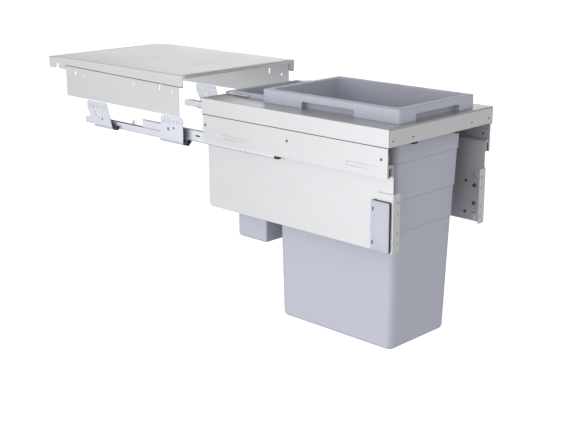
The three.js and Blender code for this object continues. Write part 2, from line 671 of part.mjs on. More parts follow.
function rivetHoles() {
  return Object.values(RIVETS).map((y) => round(y, -RIVET_DROP, RIVET_SHANK + 2 * GAP));
}

function sideSkin(side) {
  const rear = FRAME_DEPTH - FRAME_SHEET - GAP;
  const outline = rectangle([SKIN_FRONT, rear], [-SKIN_BOTTOM, -FRAME_SHEET - GAP], 0, rivetHoles());
  return plate('x', [side * SKIN_INNER, side * SKIN_OUTER], outline);
}

// Lower panel, the shelf over the runner, and the lip that is riveted to the skin, folded from one sheet.
function sidePanel(side) {
  const rear = FRAME_DEPTH + PANEL_REAR_OVERHANG;
  const lipRear = FRAME_DEPTH - FRAME_SHEET - GAP;
  const clampHoles = clampScrewDrops.map(([, drop]) => slot(
    CAM_Y,
    -drop,
    CLAMP_SCREW_SHANK + 2 * (DOOR_ADJUST + GAP),
    CLAMP_SCREW_SHANK + 2 * GAP,
    Math.PI / 2,
  ));
  const screwHoles = coverScrewDrops.map(([, drop]) => (
    round(COVER_SCREW_Y, -drop, COVER_SCREW_SHANK + 2 * GAP)
  ));
  const outline = polygon([
    [PANEL_FRONT, -PANEL_BOTTOM],
    [rear, -PANEL_BOTTOM, PANEL_CORNER],
    [rear, -LEDGE_DROP - 4],
    [lipRear, -LEDGE_DROP],
    [PANEL_FRONT, -LEDGE_DROP],
  ], [round(CAM_Y, -CAM_DROP, CAM_SHAFT + 2 * GAP), ...clampHoles, ...screwHoles]);
  const panel = plate('x', [side * PANEL_INNER, side * PANEL_OUTER], outline);
  const ledge = block(
    [side * PANEL_INNER, side * LIP_OUTER],
    [SKIN_FRONT, lipRear],
    [-LEDGE_DROP - FRAME_SHEET, -LEDGE_DROP],
  );
  const upright = rectangle([SKIN_FRONT, lipRear], [-LEDGE_DROP - FRAME_SHEET, -LIP_TOP], 0, rivetHoles());
  const lip = plate('x', [side * (LIP_OUTER - FRAME_SHEET), side * LIP_OUTER], upright);
  return join(panel, ledge, lip);
}

function skinRivet(side, y) {
  const head = SKIN_OUTER + GAP;
  const tail = LIP_OUTER - FRAME_SHEET - GAP;
  const [shank, flange] = [RIVET_SHANK / 2, RIVET_HEAD / 2];
  return turned(side, [
    [0, tail - RIVET_HEAD_HEIGHT],
    [flange * 0.8, tail - RIVET_HEAD_HEIGHT],
    [flange * 0.8, tail],
    [shank, tail],
    [shank, head],
    [flange, head],
    [flange * 0.6, head + RIVET_HEAD_HEIGHT],
    [0, head + RIVET_HEAD_HEIGHT],
  ], y, -RIVET_DROP);
}

function drawerRail(side) {
  const rail = block(
    [side * RAIL_INNER, side * RAIL_OUTER],
    [DRAWER_RAIL_FRONT, DRAWER_RAIL_END],
    [-DRAWER_RAIL_BOTTOM, -DRAWER_RAIL_TOP],
  );
  const channel = block(
    [side * (RAIL_INNER + RAIL_SHEET), side * (RAIL_OUTER - RAIL_SHEET)],
    [DRAWER_RAIL_FRONT - 1, DRAWER_RAIL_END + 1],
    [-DRAWER_RAIL_BOTTOM - 1, -DRAWER_RAIL_TOP - RAIL_SHEET],
  );
  return cut(rail, channel);
}

// Moulded cover over the door adjusters, hollow towards the panel, with two posts for its screws.
function adjusterCover(side) {
  const inner = LEG_OUTER + GAP;
  const outer = inner + ADJUSTER_COVER_THICKNESS;
  const rear = ADJUSTER_COVER_FRONT + ADJUSTER_COVER_DEPTH;
  const wall = ADJUSTER_COVER_WALL;
  const shell = plate(
    'x',
    [side * inner, side * outer],
    rectangle([ADJUSTER_COVER_FRONT, rear], [-ADJUSTER_COVER_BOTTOM, -ADJUSTER_COVER_TOP], 2.5),
  );
  const hollow = block(
    [side * (inner - 1), side * (outer - wall)],
    [ADJUSTER_COVER_FRONT + wall, rear - wall],
    [wall - ADJUSTER_COVER_BOTTOM, -wall - ADJUSTER_COVER_TOP],
  );
  const posts = coverScrewDrops.map(([, drop]) => {
    const post = new THREE.Shape().absarc(COVER_SCREW_Y, -drop, COVER_SCREW_SHANK, 0, 2 * Math.PI);
    post.holes.push(round(COVER_SCREW_Y, -drop, COVER_SCREW_SHANK + 2 * GAP));
    return plate('x', [side * (PANEL_OUTER + GAP), side * (outer - wall / 2)], post);
  });
  return join(cut(shell, hollow), ...posts);
}

function coverScrew(side, drop) {
  const head = PANEL_INNER - GAP;
  const tip = LEG_OUTER + ADJUSTER_COVER_THICKNESS - ADJUSTER_COVER_WALL;
  const [shank, flange] = [COVER_SCREW_SHANK / 2, COVER_SCREW_HEAD / 2];
  return turned(side, [
    [0, head - 2],
    [flange * 0.7, head - 2],
    [flange, head],
    [shank, head],
    [shank, tip],
    [0, tip],
  ], COVER_SCREW_Y, -drop);
}

function lockNut(side) {
  const half = LOCK_NUT_SIZE / 2;
  const outline = rectangle([CAM_Y - half, CAM_Y + half], [-LOCK_NUT_DROP - half, -LOCK_NUT_DROP + half], 1);
  outline.holes.push(round(CAM_Y, -LOCK_NUT_DROP, 4));
  return plate('x', [side * (PANEL_INNER - GAP - 2), side * (PANEL_INNER - GAP)], outline);
}

// Rubber hook under the frame's front edge that steadies the big bin.
function binCatch(side) {
  const x = [side * CATCH_X - CATCH_WIDTH / 2, side * CATCH_X + CATCH_WIDTH / 2];
  const rear = BIG_BIN.rimFront + BIG_BIN.lip - 2;
  const top = -FRAME_SHEET - GAP;
  const stem = block(x, [rear - 14, rear - 8], [-CATCH_DROP, top]);
  const foot = block(x, [rear - 14, rear], [-CATCH_DROP, CATCH_FOOT - CATCH_DROP]);
  return join(stem, foot);
}

place(pullout, 'bin_frame', binFrame(), SHEET_STEEL);
for (const [word, side] of SIDES) {
  place(pullout, `side_skin_${word}`, sideSkin(side), SHEET_STEEL);
  place(pullout, `side_panel_${word}`, sidePanel(side), SHEET_STEEL);
  for (const [where, y] of Object.entries(RIVETS)) {
    place(pullout, `skin_rivet_${where}_${word}`, skinRivet(side, y), DARK_STEEL);
  }
  place(pullout, `drawer_rail_${word}`, drawerRail(side), ZINC_STEEL);
  place(pullout, `adjuster_cover_${word}`, adjusterCover(side), BIN_PLASTIC);
  for (const [where, drop] of coverScrewDrops) {
    place(pullout, `cover_screw_${where}_${word}`, coverScrew(side, drop), DARK_STEEL);
  }
  place(pullout, `lock_nut_${word}`, lockNut(side), ZINC_STEEL);
  place(pullout, `bin_catch_${word}`, binCatch(side), BLACK_PLASTIC);
}

// ---------------------------------------------------------------- adjustable door brackets

const camPinSlot = CAM_PIN + 2 * GAP;

function doorBracket(side) {
  const flangeInner = LEG_OUTER - DOOR_FLANGE_WIDTH;
  const flangeX = LEG_OUTER - DOOR_HOLE_INSET;
  const rows = [[19, DOOR_HOLE_COUNTERSUNK], [41.5, DOOR_HOLE], [82, DOOR_HOLE], [104, DOOR_HOLE_COUNTERSUNK]];
  const holes = rows.map(([drop, size]) => round(side * flangeX, -DOOR_BRACKET_TOP - drop, size));
  const face = rectangle(
    [side * flangeInner, side * LEG_OUTER].sort((a, b) => a - b),
    [-DOOR_BRACKET_BOTTOM, -DOOR_BRACKET_TOP],
    0,
    holes,
  );
  const flange = plate('y', [DOOR_BRACKET_FRONT, DOOR_BRACKET_FRONT + DOOR_BRACKET_SHEET], face);
  const legHoles = [slot(CAM_Y + CAM_THROW * 0.85, -CAM_DROP, camPinSlot + CAM_THROW * 0.4, camPinSlot)];
  const legOutline = rectangle(
    [DOOR_BRACKET_FRONT, DOOR_LEG_REAR],
    [3 - DOOR_BRACKET_BOTTOM, -1 - DOOR_BRACKET_TOP],
    0,
    legHoles,
  );
  const leg = plate('x', [side * LEG_INNER, side * LEG_OUTER], legOutline);
  return join(flange, leg);
}

function clampScrew(side, drop) {
  const head = PANEL_INNER - GAP;
  const tip = LEG_INNER - GAP;
  const socket = 2;
  const [shank, cap] = [CLAMP_SCREW_SHANK / 2, CLAMP_SCREW_HEAD / 2];
  return turned(side, [
    [0, head - 1],
    [socket, head - 1],
    [socket, head - 3],
    [cap, head - 3],
    [cap, head],
    [shank, head],
    [shank, tip],
    [0, tip],
  ], CAM_Y, -drop);
}

// The cam's round head turns in the panel, and its off-centre pin lifts the door bracket.
function heightCam(side) {
  const head = PANEL_INNER - GAP;
  const disc = turned(side, [[0, head - 2.4], [CAM_HEAD / 2 - 1, head - 2.4], [CAM_HEAD / 2, head], [0, head]], 0, 0);
  const radius = CAM_SHAFT / 2;
  const shaft = turned(side, [[0, head - 1], [radius, head - 1], [radius, PANEL_OUTER], [0, PANEL_OUTER]], 0, 0);
  const pin = turned(side, [[0, head], [CAM_PIN / 2, head], [CAM_PIN / 2, LEG_OUTER], [0, LEG_OUTER]], CAM_THROW, 0);
  const recess = block([side * (head - 4), side * (head - 1.2)], [-3.5, 3.5], [-0.8, 0.8]);
  const cam = cut(join(disc, shaft, pin), recess);
  cam.translate(0, CAM_Y, -CAM_DROP);
  return cam;
}

for (const [word, side] of SIDES) {
  place(pullout, `door_bracket_${word}`, doorBracket(side), SHEET_STEEL);
  for (const [where, drop] of clampScrewDrops) {
    place(pullout, `clamp_screw_${where}_${word}`, clampScrew(side, drop), DARK_STEEL);
  }
  place(pullout, `height_cam_${word}`, heightCam(side), ZINC_STEEL);
}

// ---------------------------------------------------------------- bins

// The body's outer size at a drop below the frame's top. It narrows evenly, and by a step at each seam.
function bodyLevel(bin, drop, stepsPassed, inset) {
  const depth = bin.height - bin.rimHeight;
  const stepTotal = bin.steps.length * bin.stepSize;
  const shrink = (taper) => ((taper - stepTotal) * drop) / depth + stepsPassed * bin.stepSize + inset;
  return {
    half: bin.rimWidth / 2 - bin.lip - shrink(bin.taper.side),
    front: bin.rimFront + bin.lip + shrink(bin.taper.front),
    rear: bin.rimFront + bin.rimDepth - bin.lip - shrink(bin.taper.rear),
    z: -drop,
    radius: Math.max(bin.radius - inset, 1),
  };
}

// The body's wall from the floor up to the rim.
function bodyWall(bin, inset, floorDrop) {
  const levels = [bodyLevel(bin, floorDrop, bin.steps.length, inset)];
  for (let i = bin.steps.length - 1; i >= 0; i -= 1) {
    levels.push(bodyLevel(bin, bin.steps[i] + bin.stepSize, i + 1, inset));
    levels.push(bodyLevel(bin, bin.steps[i], i, inset));
  }
  return levels;
}

function binBody(bin) {
  const depth = bin.height - bin.rimHeight;
  const rimLevel = (inset, z) => ({
    half: bin.rimWidth / 2 - inset,
    front: bin.rimFront + inset,
    rear: bin.rimFront + bin.rimDepth - inset,
    z,
    radius: Math.max(bin.rimRadius - inset, 1),
  });
  const underRim = bin.rimHeight - BIN_WALL;
  const outside = bodyWall(bin, 0, depth - FLOOR_ROUNDING);
  const inside = bodyWall(bin, BIN_WALL, depth - BIN_WALL);
  const foot = bodyLevel(bin, depth, bin.steps.length, FLOOR_ROUNDING);
  foot.radius = bin.radius - FLOOR_ROUNDING / 2;
  const neck = (inset, z) => ({ ...bodyLevel(bin, 0, 0, inset), z });
  return loft([
    foot,
    ...outside,
    neck(0, underRim),
    rimLevel(BIN_SKIRT, underRim),
    rimLevel(BIN_SKIRT, GAP),
    rimLevel(0, GAP),
    rimLevel(0, bin.rimHeight - 2),
    rimLevel(2, bin.rimHeight),
    neck(BIN_WALL - 1, bin.rimHeight),
    neck(BIN_WALL, bin.rimHeight - 2),
    ...inside.reverse(),
  ]);
}

function bigBin() {
  const bin = BIG_BIN;
  const tall = [0, GRIP_HEIGHT];
  const across = [-GRIP_WIDTH / 2, GRIP_WIDTH / 2];
  const outside = bin.rimWidth / 2 + 1;
  const through = BIN_SKIRT + 2;
  const middle = bin.rimFront + bin.rimDepth / 2;
  const along = [middle - GRIP_WIDTH / 2, middle + GRIP_WIDTH / 2];
  const sides = SIDES.map(([, s]) => block([s * (outside - through), s * outside], along, tall));
  const front = block(across, [bin.rimFront - 1, bin.rimFront - 1 + through], tall);
  return cut(binBody(bin), front, ...sides);
}

const smallBinRear = SMALL_BIN.rimFront + SMALL_BIN.rimDepth;
const bailPivotY = smallBinRear - BAIL_PIVOT_FROM_REAR;

function smallBin() {
  const half = SMALL_BIN.rimWidth / 2;
  const sockets = SIDES.map(([, s]) => {
    const hole = new THREE.Shape().absarc(bailPivotY, BAIL_HEIGHT, BAIL_WIRE / 2 + GAP, 0, 2 * Math.PI);
    return plate('x', [s * (half - BIN_SKIRT - 1), s * (half + 1)], hole);
  });
  return cut(binBody(SMALL_BIN), ...sockets);
}

// The wire handle lies back over the frame, with its two ends turned into the rim.
function bail() {
  const half = SMALL_BIN.rimWidth / 2;
  const out = half + BAIL_SPREAD;
  const rear = bailPivotY + BAIL_REACH;
  const radius = BAIL_WIRE / 2;
  const at = (x, y) => new THREE.Vector3(x, y, BAIL_HEIGHT);
  const path = new THREE.CurvePath();
  path.add(new THREE.LineCurve3(at(-out, bailPivotY - radius), at(-out, rear - BAIL_CORNER)));
  path.add(new THREE.QuadraticBezierCurve3(at(-out, rear - BAIL_CORNER), at(-out, rear), at(BAIL_CORNER - out, rear)));
  path.add(new THREE.LineCurve3(at(BAIL_CORNER - out, rear), at(out - BAIL_CORNER, rear)));
  path.add(new THREE.QuadraticBezierCurve3(at(out - BAIL_CORNER, rear), at(out, rear), at(out, rear - BAIL_CORNER)));
  path.add(new THREE.LineCurve3(at(out, rear - BAIL_CORNER), at(out, bailPivotY - radius)));
  const section = new THREE.Shape().absarc(0, 0, radius, 0, 2 * Math.PI);
  const settings = { steps: BAIL_STEPS, curveSegments: TINY_CURVE_STEPS, extrudePath: path, bevelEnabled: false };
  const ends = SIDES.map(([, s]) => {
    const profile = [[0, half - BIN_SKIRT / 2], [radius, half - BIN_SKIRT / 2], [radius, out], [0, out]];
    return turned(s, profile, bailPivotY, BAIL_HEIGHT);
  });
  return join(new THREE.ExtrudeGeometry(section, settings), ...ends);
}

place(bins, 'big_bin', bigBin(), BIN_PLASTIC);
place(bins, 'small_bin', smallBin(), BIN_PLASTIC);
place(bins, 'small_bin_bail', bail(), ZINC_STEEL);

export default unit;
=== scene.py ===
# %% [markdown]
# # A pull-out waste-bin unit
# A steel frame with two plastic bins runs out of a kitchen cabinet on telescopic rails, under a cover
# that stays in the cabinet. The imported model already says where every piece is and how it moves. This
# lesson gives each piece its fine shape and its finish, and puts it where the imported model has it.

import json
import math

import bmesh
import bpy
import numpy as np
from mathutils import Matrix, Vector
from mathutils.geometry import delaunay_2d_cdt

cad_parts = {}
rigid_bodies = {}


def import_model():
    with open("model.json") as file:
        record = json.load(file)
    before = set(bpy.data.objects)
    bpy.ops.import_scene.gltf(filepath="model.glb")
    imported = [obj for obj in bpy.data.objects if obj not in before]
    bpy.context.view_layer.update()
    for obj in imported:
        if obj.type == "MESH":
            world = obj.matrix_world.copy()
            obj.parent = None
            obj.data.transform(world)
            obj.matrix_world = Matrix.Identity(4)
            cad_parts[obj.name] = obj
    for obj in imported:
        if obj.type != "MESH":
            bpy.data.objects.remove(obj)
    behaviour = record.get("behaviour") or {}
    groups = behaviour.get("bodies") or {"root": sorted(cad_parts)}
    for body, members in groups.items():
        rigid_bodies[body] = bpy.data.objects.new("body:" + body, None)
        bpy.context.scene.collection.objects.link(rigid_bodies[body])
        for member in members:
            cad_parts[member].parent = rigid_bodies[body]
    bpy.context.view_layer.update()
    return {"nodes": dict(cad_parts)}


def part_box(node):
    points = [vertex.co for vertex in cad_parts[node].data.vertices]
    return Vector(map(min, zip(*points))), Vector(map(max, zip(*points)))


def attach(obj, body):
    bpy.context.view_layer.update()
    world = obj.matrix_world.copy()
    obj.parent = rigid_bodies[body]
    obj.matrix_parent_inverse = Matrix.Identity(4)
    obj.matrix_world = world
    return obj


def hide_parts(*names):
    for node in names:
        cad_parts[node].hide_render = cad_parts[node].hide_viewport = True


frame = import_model()

# %% [markdown]
# ## Camera
# A product like this is seen from above and to one side, so that the cover, the bins and the runners all
# show. The camera's direction could be set with a constraint that tracks a point. Here it is worked out
# from three angles, because a small roll is part of the view: azimuth turns from +Y towards +X, and the
# elevation is below the horizon.

# %% The camera
VIEW_AZIMUTH = math.radians(45.726)
VIEW_ELEVATION = math.radians(15.852)
VIEW_ROLL = math.radians(-0.272)
VIEW_POINT = (-1.7648, -1.2752, 0.4279)
HALF_ANGLE = math.atan(286 / 1084.9)


def view_axes(azimuth, elevation, roll):
    """Right, up and forward unit vectors. Forward is (sin a cos e, cos a cos e, -sin e), right is level
    before the roll, and the roll turns right and up about forward."""
    forward = Vector((
        math.sin(azimuth) * math.cos(elevation),
        math.cos(azimuth) * math.cos(elevation),
        -math.sin(elevation),
    ))
    level_right = Vector((math.cos(azimuth), -math.sin(azimuth), 0))
    level_up = level_right.cross(forward)
    right = math.cos(roll) * level_right + math.sin(roll) * level_up
    return right, right.cross(forward), forward


camera_data = bpy.data.cameras.new("view")
camera_data.sensor_width = 36
camera_data.lens = camera_data.sensor_width / 2 / math.tan(HALF_ANGLE)
camera_data.clip_end = 200
camera = bpy.data.objects.new("view", camera_data)
bpy.context.scene.collection.objects.link(camera)
right, up, forward = view_axes(VIEW_AZIMUTH, VIEW_ELEVATION, VIEW_ROLL)
turn = Matrix((right, up, -forward)).transposed().to_4x4()
camera.matrix_world = Matrix.Translation(VIEW_POINT) @ turn
bpy.context.scene.camera = camera
print("lens", round(camera_data.lens, 1), "mm")

# %% [markdown]
# ## Finishes
# Shader maths is easiest to read as a sum, so a small class wraps one output of a node and adds a Math
# node for each operator. Another class stands for a whole finish: it holds the node tree, and one method
# adds any node that isn't a sum. Patterns read Object coordinates, which stay with a piece when it moves.


# %% A class for sums in a shader
class Signal:
    """One number, colour or vector that varies over a surface. Arithmetic on it adds Math nodes."""

    def __init__(self, finish, socket):
        self.finish = finish
        self.socket = socket

    def math(self, operation, first, second):
        return self.finish.node("ShaderNodeMath", {0: first, 1: second}, operation=operation)

    def __add__(self, other):
        return self.math("ADD", self, other)

    def __mul__(self, other):
        return self.math("MULTIPLY", self, other)

    __radd__ = __add__
    __rmul__ = __mul__


# %% A class for a node tree, and one for a finish
class Graph:
    """The node tree of a material or of the room's light. node() adds any node that isn't a sum."""

    def __init__(self, owner, shader, place):
        owner.use_nodes = True
        self.tree = owner.node_tree
        self.shader = self.tree.nodes[shader]
        self.place = self.node("ShaderNodeTexCoord", output=place)

    def node(self, kind, sockets=None, output=0, stops=None, **settings):
        made = self.tree.nodes.new(kind)
        for setting, value in settings.items():
            setattr(made, setting, value)
        if stops is not None:
            self.fill_ramp(made.color_ramp, stops)
        for socket, value in (sockets or {}).items():
            if isinstance(value, Signal):
                self.tree.links.new(value.socket, made.inputs[socket])
            else:
                made.inputs[socket].default_value = value
        return Signal(self, made.outputs[output])

    def fill_ramp(self, ramp, stops):
        """Stops are (position, shade) pairs, and the shade is a grey value."""
        for (position, shade), element in zip(stops, ramp.elements):
            element.position = position
            element.color = (shade, shade, shade, 1)
        for position, shade in stops[len(ramp.elements):]:
            ramp.elements.new(position).color = (shade, shade, shade, 1)

    def feed(self, socket, signal):
        self.tree.links.new(signal.socket, self.shader.inputs[socket])


class Finish(Graph):
    """A material with a Principled shader. Settings that are the same all over go on the shader's own
    sockets."""

    def __init__(self, name, **settings):
        self.material = bpy.data.materials.new(name)
        super().__init__(self.material, "Principled BSDF", "Object")
        for socket, value in settings.items():
            self.shader.inputs[socket.replace("_", " ")].default_value = value

    def stretched(self, across):
        """Object coordinates stretched by a factor on each axis, for grain that runs one way."""
        return self.node("ShaderNodeMapping", {"Vector": self.place, "Scale": across})

    def noise(self, scale, detail=2, place=None):
        sockets = {"Vector": place or self.place, "Scale": scale, "Detail": detail}
        return self.node("ShaderNodeTexNoise", sockets)

    def blend(self, factor, first, second):
        """A colour between two colours. A Mix node keeps its colour sockets at places 6 and 7, after those
        for numbers and vectors, and its colour result at place 2."""
        sockets = {0: factor, 6: (*first, 1), 7: (*second, 1)}
        return self.node("ShaderNodeMix", sockets, output=2, data_type="RGBA")

    def bump(self, height, depth, strength=1.0):
        """Feeds Normal with a bump of that depth in metres."""
        sockets = {"Height": height, "Distance": depth, "Strength": strength}
        self.feed("Normal", self.node("ShaderNodeBump", sockets))


# %% [markdown]
# ### Sheet steel
# The cover, the frame and the panels are thin steel sheet with a satin silver finish. Bare metal alone
# would mirror the room and look chromed, so the finish is half metal and half paint, and fairly rough.
# Fine grain in the roughness and a bump of a few micrometres break up the reflections, and soft broad
# smudges keep a large flat face from looking printed.


# %% Sheet steel
def sheet_steel(name, shade, metal, roughness):
    """Colour is the shade times 0.93 to 1.04, by broad smudges and some streaks along Y. Roughness is the
    given value less 0.1 to plus 0.1, by fine grain and the same smudges."""
    steel = Finish(name, Metallic=metal, Specular_IOR_Level=0.5)
    grain = steel.noise(900, 3)
    smudge = steel.noise(7, 4)
    streak = steel.noise(60, 2, steel.stretched((1, 0.08, 1)))
    light = tuple(value * 1.04 for value in shade)
    dark = tuple(value * 0.93 for value in shade)
    steel.feed("Base Color", steel.blend(smudge * 0.7 + streak * 0.3, dark, light))
    steel.feed("Roughness", grain * 0.10 + smudge * 0.10 + (roughness - 0.10))
    steel.bump(grain, 0.00001, 0.5)
    return steel.material


STEEL = sheet_steel("sheet_steel", (0.59, 0.595, 0.61), 0.5, 0.36)

# %% [markdown]
# ### Zinc-plated steel
# Rails, brackets and screws are plated with zinc, which is bluer and brighter than the sheet steel and
# has a faint mottle where its crystals meet. A Voronoi pattern gives the mottle.


# %% Zinc-plated steel
def zinc_steel(name, shade, roughness, mottle):
    """Colour is the shade times (1 less up to the mottle), in patches. Roughness follows long drawn lines,
    and each crystal has a height of its own for the bump."""
    zinc = Finish(name, Metallic=0.7)
    cells = zinc.node("ShaderNodeTexVoronoi", {"Vector": zinc.place, "Scale": 260}, output="Color")
    patch = zinc.noise(90, 3)
    dark = tuple(value * (1 - mottle) for value in shade)
    zinc.feed("Base Color", zinc.blend(patch, dark, shade))
    drawn = zinc.noise(400, 2, zinc.stretched((1, 0.02, 1)))
    zinc.feed("Roughness", drawn * 0.12 + (roughness - 0.06))
    zinc.bump(zinc.node("ShaderNodeSeparateColor", {"Color": cells}), 0.00002, 0.35)
    return zinc.material


ZINC = zinc_steel("zinc_steel", (0.69, 0.71, 0.78), 0.34, 0.12)
SCREW_STEEL = zinc_steel("dark_steel", (0.16, 0.16, 0.18), 0.38, 0.25)

# %% [markdown]
# ### Moulded plastic
# Both bins are injection moulded in a lavender grey. The mould is finely grained, which shows as a soft
# broken gloss and not as colour, so a small bump and a varied roughness do most of the work. The clips
# and caps are black or white plastic with the same grain.


# %% Moulded plastic
def plastic(name, shade, roughness, grain_size, variation=0.03):
    """Colour is the shade times (1 plus or minus the variation), as the melt flowed. Roughness adds fine
    grain and scuffs that run upright."""
    moulded = Finish(name, Metallic=0.0, Specular_IOR_Level=0.42)
    flow = moulded.noise(5, 3)
    grain = moulded.noise(1 / grain_size, 2)
    light = tuple(min(1.0, value * (1 + variation)) for value in shade)
    dark = tuple(value * (1 - variation) for value in shade)
    moulded.feed("Base Color", moulded.blend(flow, dark, light))
    scuff = moulded.noise(40, 4, moulded.stretched((1, 1, 0.1)))
    moulded.feed("Roughness", grain * 0.12 + scuff * 0.10 + (roughness - 0.11))
    moulded.bump(grain, 0.00004, 0.35)
    return moulded.material


BIN = plastic("bin_plastic", (0.455, 0.465, 0.545), 0.46, 0.0012)
BLACK = plastic("black_plastic", (0.018, 0.018, 0.02), 0.42, 0.0008)
WHITE = plastic("white_plastic", (0.72, 0.72, 0.70), 0.45, 0.0008)
COVER_PLASTIC = plastic("cover_plastic", (0.50, 0.51, 0.60), 0.42, 0.001)

# %% [markdown]
# ## Surfaces from arrays
# Every new piece is worked out as a whole array of points and then given faces. Most shapes here are a
# grid: one direction runs along a profile and the other carries it along a path. The few helpers below
# turn grids into closed meshes.


# %% Faces of a grid, and a finished piece
def grid_faces(rows, columns, wrap_rows=False, wrap_columns=False):
    """Quads that join point (i, j) to (i, j + 1), (i + 1, j + 1) and (i + 1, j), as one array. A wrapped
    direction also joins its last point to its first."""
    i = np.arange(rows if wrap_rows else rows - 1)[:, None]
    j = np.arange(columns if wrap_columns else columns - 1)[None, :]
    below = (i + 1) % rows
    beside = (j + 1) % columns
    corners = (i * columns + j, i * columns + beside, below * columns + beside, below * columns + j)
    return np.stack(np.broadcast_arrays(*corners), axis=-1).reshape(-1, 4)


class Parts:
    """Points in millimetres and faces, gathered from several closed surfaces into one mesh."""

    def __init__(self):
        self.points = []
        self.faces = []
        self.count = 0

    def add(self, points, *face_sets):
        points = np.asarray(points, dtype=float).reshape(-1, 3)
        self.points.append(points)
        for faces in face_sets:
            self.faces += [tuple(int(k) + self.count for k in face) for face in faces]
        self.count += len(points)
        return self

    def piece(self, name, finish, slot, body, *nodes, smooth=32, width=0.0):
        """Makes the mesh in metres, merges what coincides, turns faces outwards, and lets the piece ride
        on its body and stand for its nodes. Edges sharper than the smooth angle stay sharp."""
        mesh = bpy.data.meshes.new(name)
        mesh.from_pydata((np.concatenate(self.points) * MM).tolist(), [], self.faces)
        tidy(mesh)
        mesh.materials.append(finish)
        return settle(bpy.data.objects.new(name, mesh), body, nodes, smooth, width)


def tidy(mesh, flat=None):
    """Merges points that coincide and turns the faces of each closed shell outwards."""
    work = bmesh.new()
    work.from_mesh(mesh)
    bmesh.ops.remove_doubles(work, verts=work.verts, dist=1e-6)
    bmesh.ops.dissolve_degenerate(work, edges=work.edges, dist=1e-7)
    if flat is not None:
        bmesh.ops.dissolve_limit(work, verts=work.verts, edges=work.edges, angle_limit=flat)
    bmesh.ops.recalc_face_normals(work, faces=work.faces)
    work.to_mesh(mesh)
    work.free()


def settle(piece, body, nodes, smooth, width):
    """Adds a piece to the scene. A width in millimetres rounds its sharp edges with a bevel."""
    bpy.context.scene.collection.objects.link(piece)
    piece.data.shade_smooth()
    if width:
        bevel = piece.modifiers.new("edges", "BEVEL")
        bevel.width = width * MM
        bevel.segments = 2
        bevel.limit_method = "ANGLE"
        bevel.angle_limit = math.radians(smooth)
        bevel.harden_normals = True
    else:
        piece.data.set_sharp_from_angle(angle=math.radians(smooth))
    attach(piece, body)
    if nodes:
        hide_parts(*nodes)
    return piece


MM = 0.001
SIDES = {"left": -1, "right": 1}
bodies_of_nodes = {name: node.parent.name.split(":")[1] for name, node in frame["nodes"].items()}


def corners(node):
    """The lowest and highest corners of a CAD node, in millimetres."""
    low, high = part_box(node)
    return np.array(low) / MM, np.array(high) / MM


# %% [markdown]
# ## Lines, sections and plates
# Sheet metal is drawn as a line with round bends, which gets its thickness and is carried along the
# fold. A flat blank with holes is stamped from loops: its walls are a small rounded profile carried
# round each loop, and its faces are filled with triangles between the loops.


# %% Lines with round corners
def unit(vectors):
    """Each vector over its length."""
    return vectors / np.maximum(np.linalg.norm(vectors, axis=-1, keepdims=True), 1e-12)


def rounded(points, radius, steps=6, closed=True):
    """A line through corners with an arc at each. The arc starts r tan(turn / 2) from its corner C at A and
    ends as far on at B. Its points are the weighted mean of A, C and B with weights (1 - t)^2,
    2 t (1 - t) cos(turn / 2) and t^2, which lie on a circle."""
    points = np.asarray(points, dtype=float)
    radius = np.array(np.broadcast_to(radius, len(points)), dtype=float)
    if not closed:
        radius[[0, -1]] = 0
    back = unit(np.roll(points, 1, axis=0) - points)
    ahead = unit(np.roll(points, -1, axis=0) - points)
    half_turn = np.arccos(np.clip(-(back * ahead).sum(axis=1), -1, 1)) / 2
    leg = (radius * np.tan(np.minimum(half_turn, 1.5)))[:, None]
    t = np.linspace(0, 1, steps + 1)
    weights = np.stack([(1 - t) ** 2 + 0 * t, 2 * t * (1 - t), t ** 2])[:, None, :, None]
    middle = weights[1] * np.cos(half_turn)[:, None, None]
    start, end = points + back * leg, points + ahead * leg
    total = weights[0] * start[:, None] + middle * points[:, None] + weights[2] * end[:, None]
    line = (total / (weights[0] + middle + weights[2])).reshape(-1, points.shape[1])
    step = np.linalg.norm(line - np.roll(line, 1, axis=0), axis=1)
    keep = step > 1e-5
    if not closed:
        keep[0] = True
    return line[keep]


def inward(line, closed=True):
    """For each point of a line, the direction to its left, lengthened at a corner by 1 / cos(turn / 2) so
    that a shifted copy keeps its distance from the line."""
    ahead = unit(np.roll(line, -1, axis=0) - line)
    back = np.roll(ahead, 1, axis=0)
    if not closed:
        ahead[-1] = back[-1]
        back[0] = ahead[0]
    left_back = np.stack([-back[:, 1], back[:, 0]], axis=1)
    left_ahead = np.stack([-ahead[:, 1], ahead[:, 0]], axis=1)
    middle = unit(left_back + left_ahead)
    return middle / np.maximum((middle * left_back).sum(axis=1), 0.3)[:, None]


def sheet_section(line, thickness):
    """The closed outline of a folded sheet: a line, and its copy shifted to the left, backwards."""
    return np.concatenate([line, (line + inward(line, closed=False) * thickness)[::-1]])


def circle(u, v, diameter, steps=24):
    """Clockwise, because it is a hole: the point at angle a is (u + r cos a, v - r sin a)."""
    a = np.linspace(0, 2 * np.pi, steps, endpoint=False)
    return np.stack([u + diameter / 2 * np.cos(a), v - diameter / 2 * np.sin(a)], axis=1)


def slotted(u, v, length, width, angle=np.pi / 2, steps=8):
    """A clockwise slot with round ends: a circle whose two halves are moved apart along an angle."""
    a = np.linspace(np.pi / 2, -np.pi / 2, steps)
    reach = (length - width) / 2
    end = np.stack([reach + width / 2 * np.cos(a), width / 2 * np.sin(a)], axis=1)
    ring = np.concatenate([end, -end])
    along, across = np.array([np.cos(angle), np.sin(angle)]), np.array([-np.sin(angle), np.cos(angle)])
    return np.array([u, v]) + ring[:, :1] * along + ring[:, 1:] * across


def rectangle(u_range, v_range, radius=0.0, steps=6):
    """Anticlockwise, with its corners rounded to one radius."""
    (u0, u1), (v0, v1) = sorted(u_range), sorted(v_range)
    return rounded([(u0, v0), (u1, v0), (u1, v1), (u0, v1)], radius, steps)


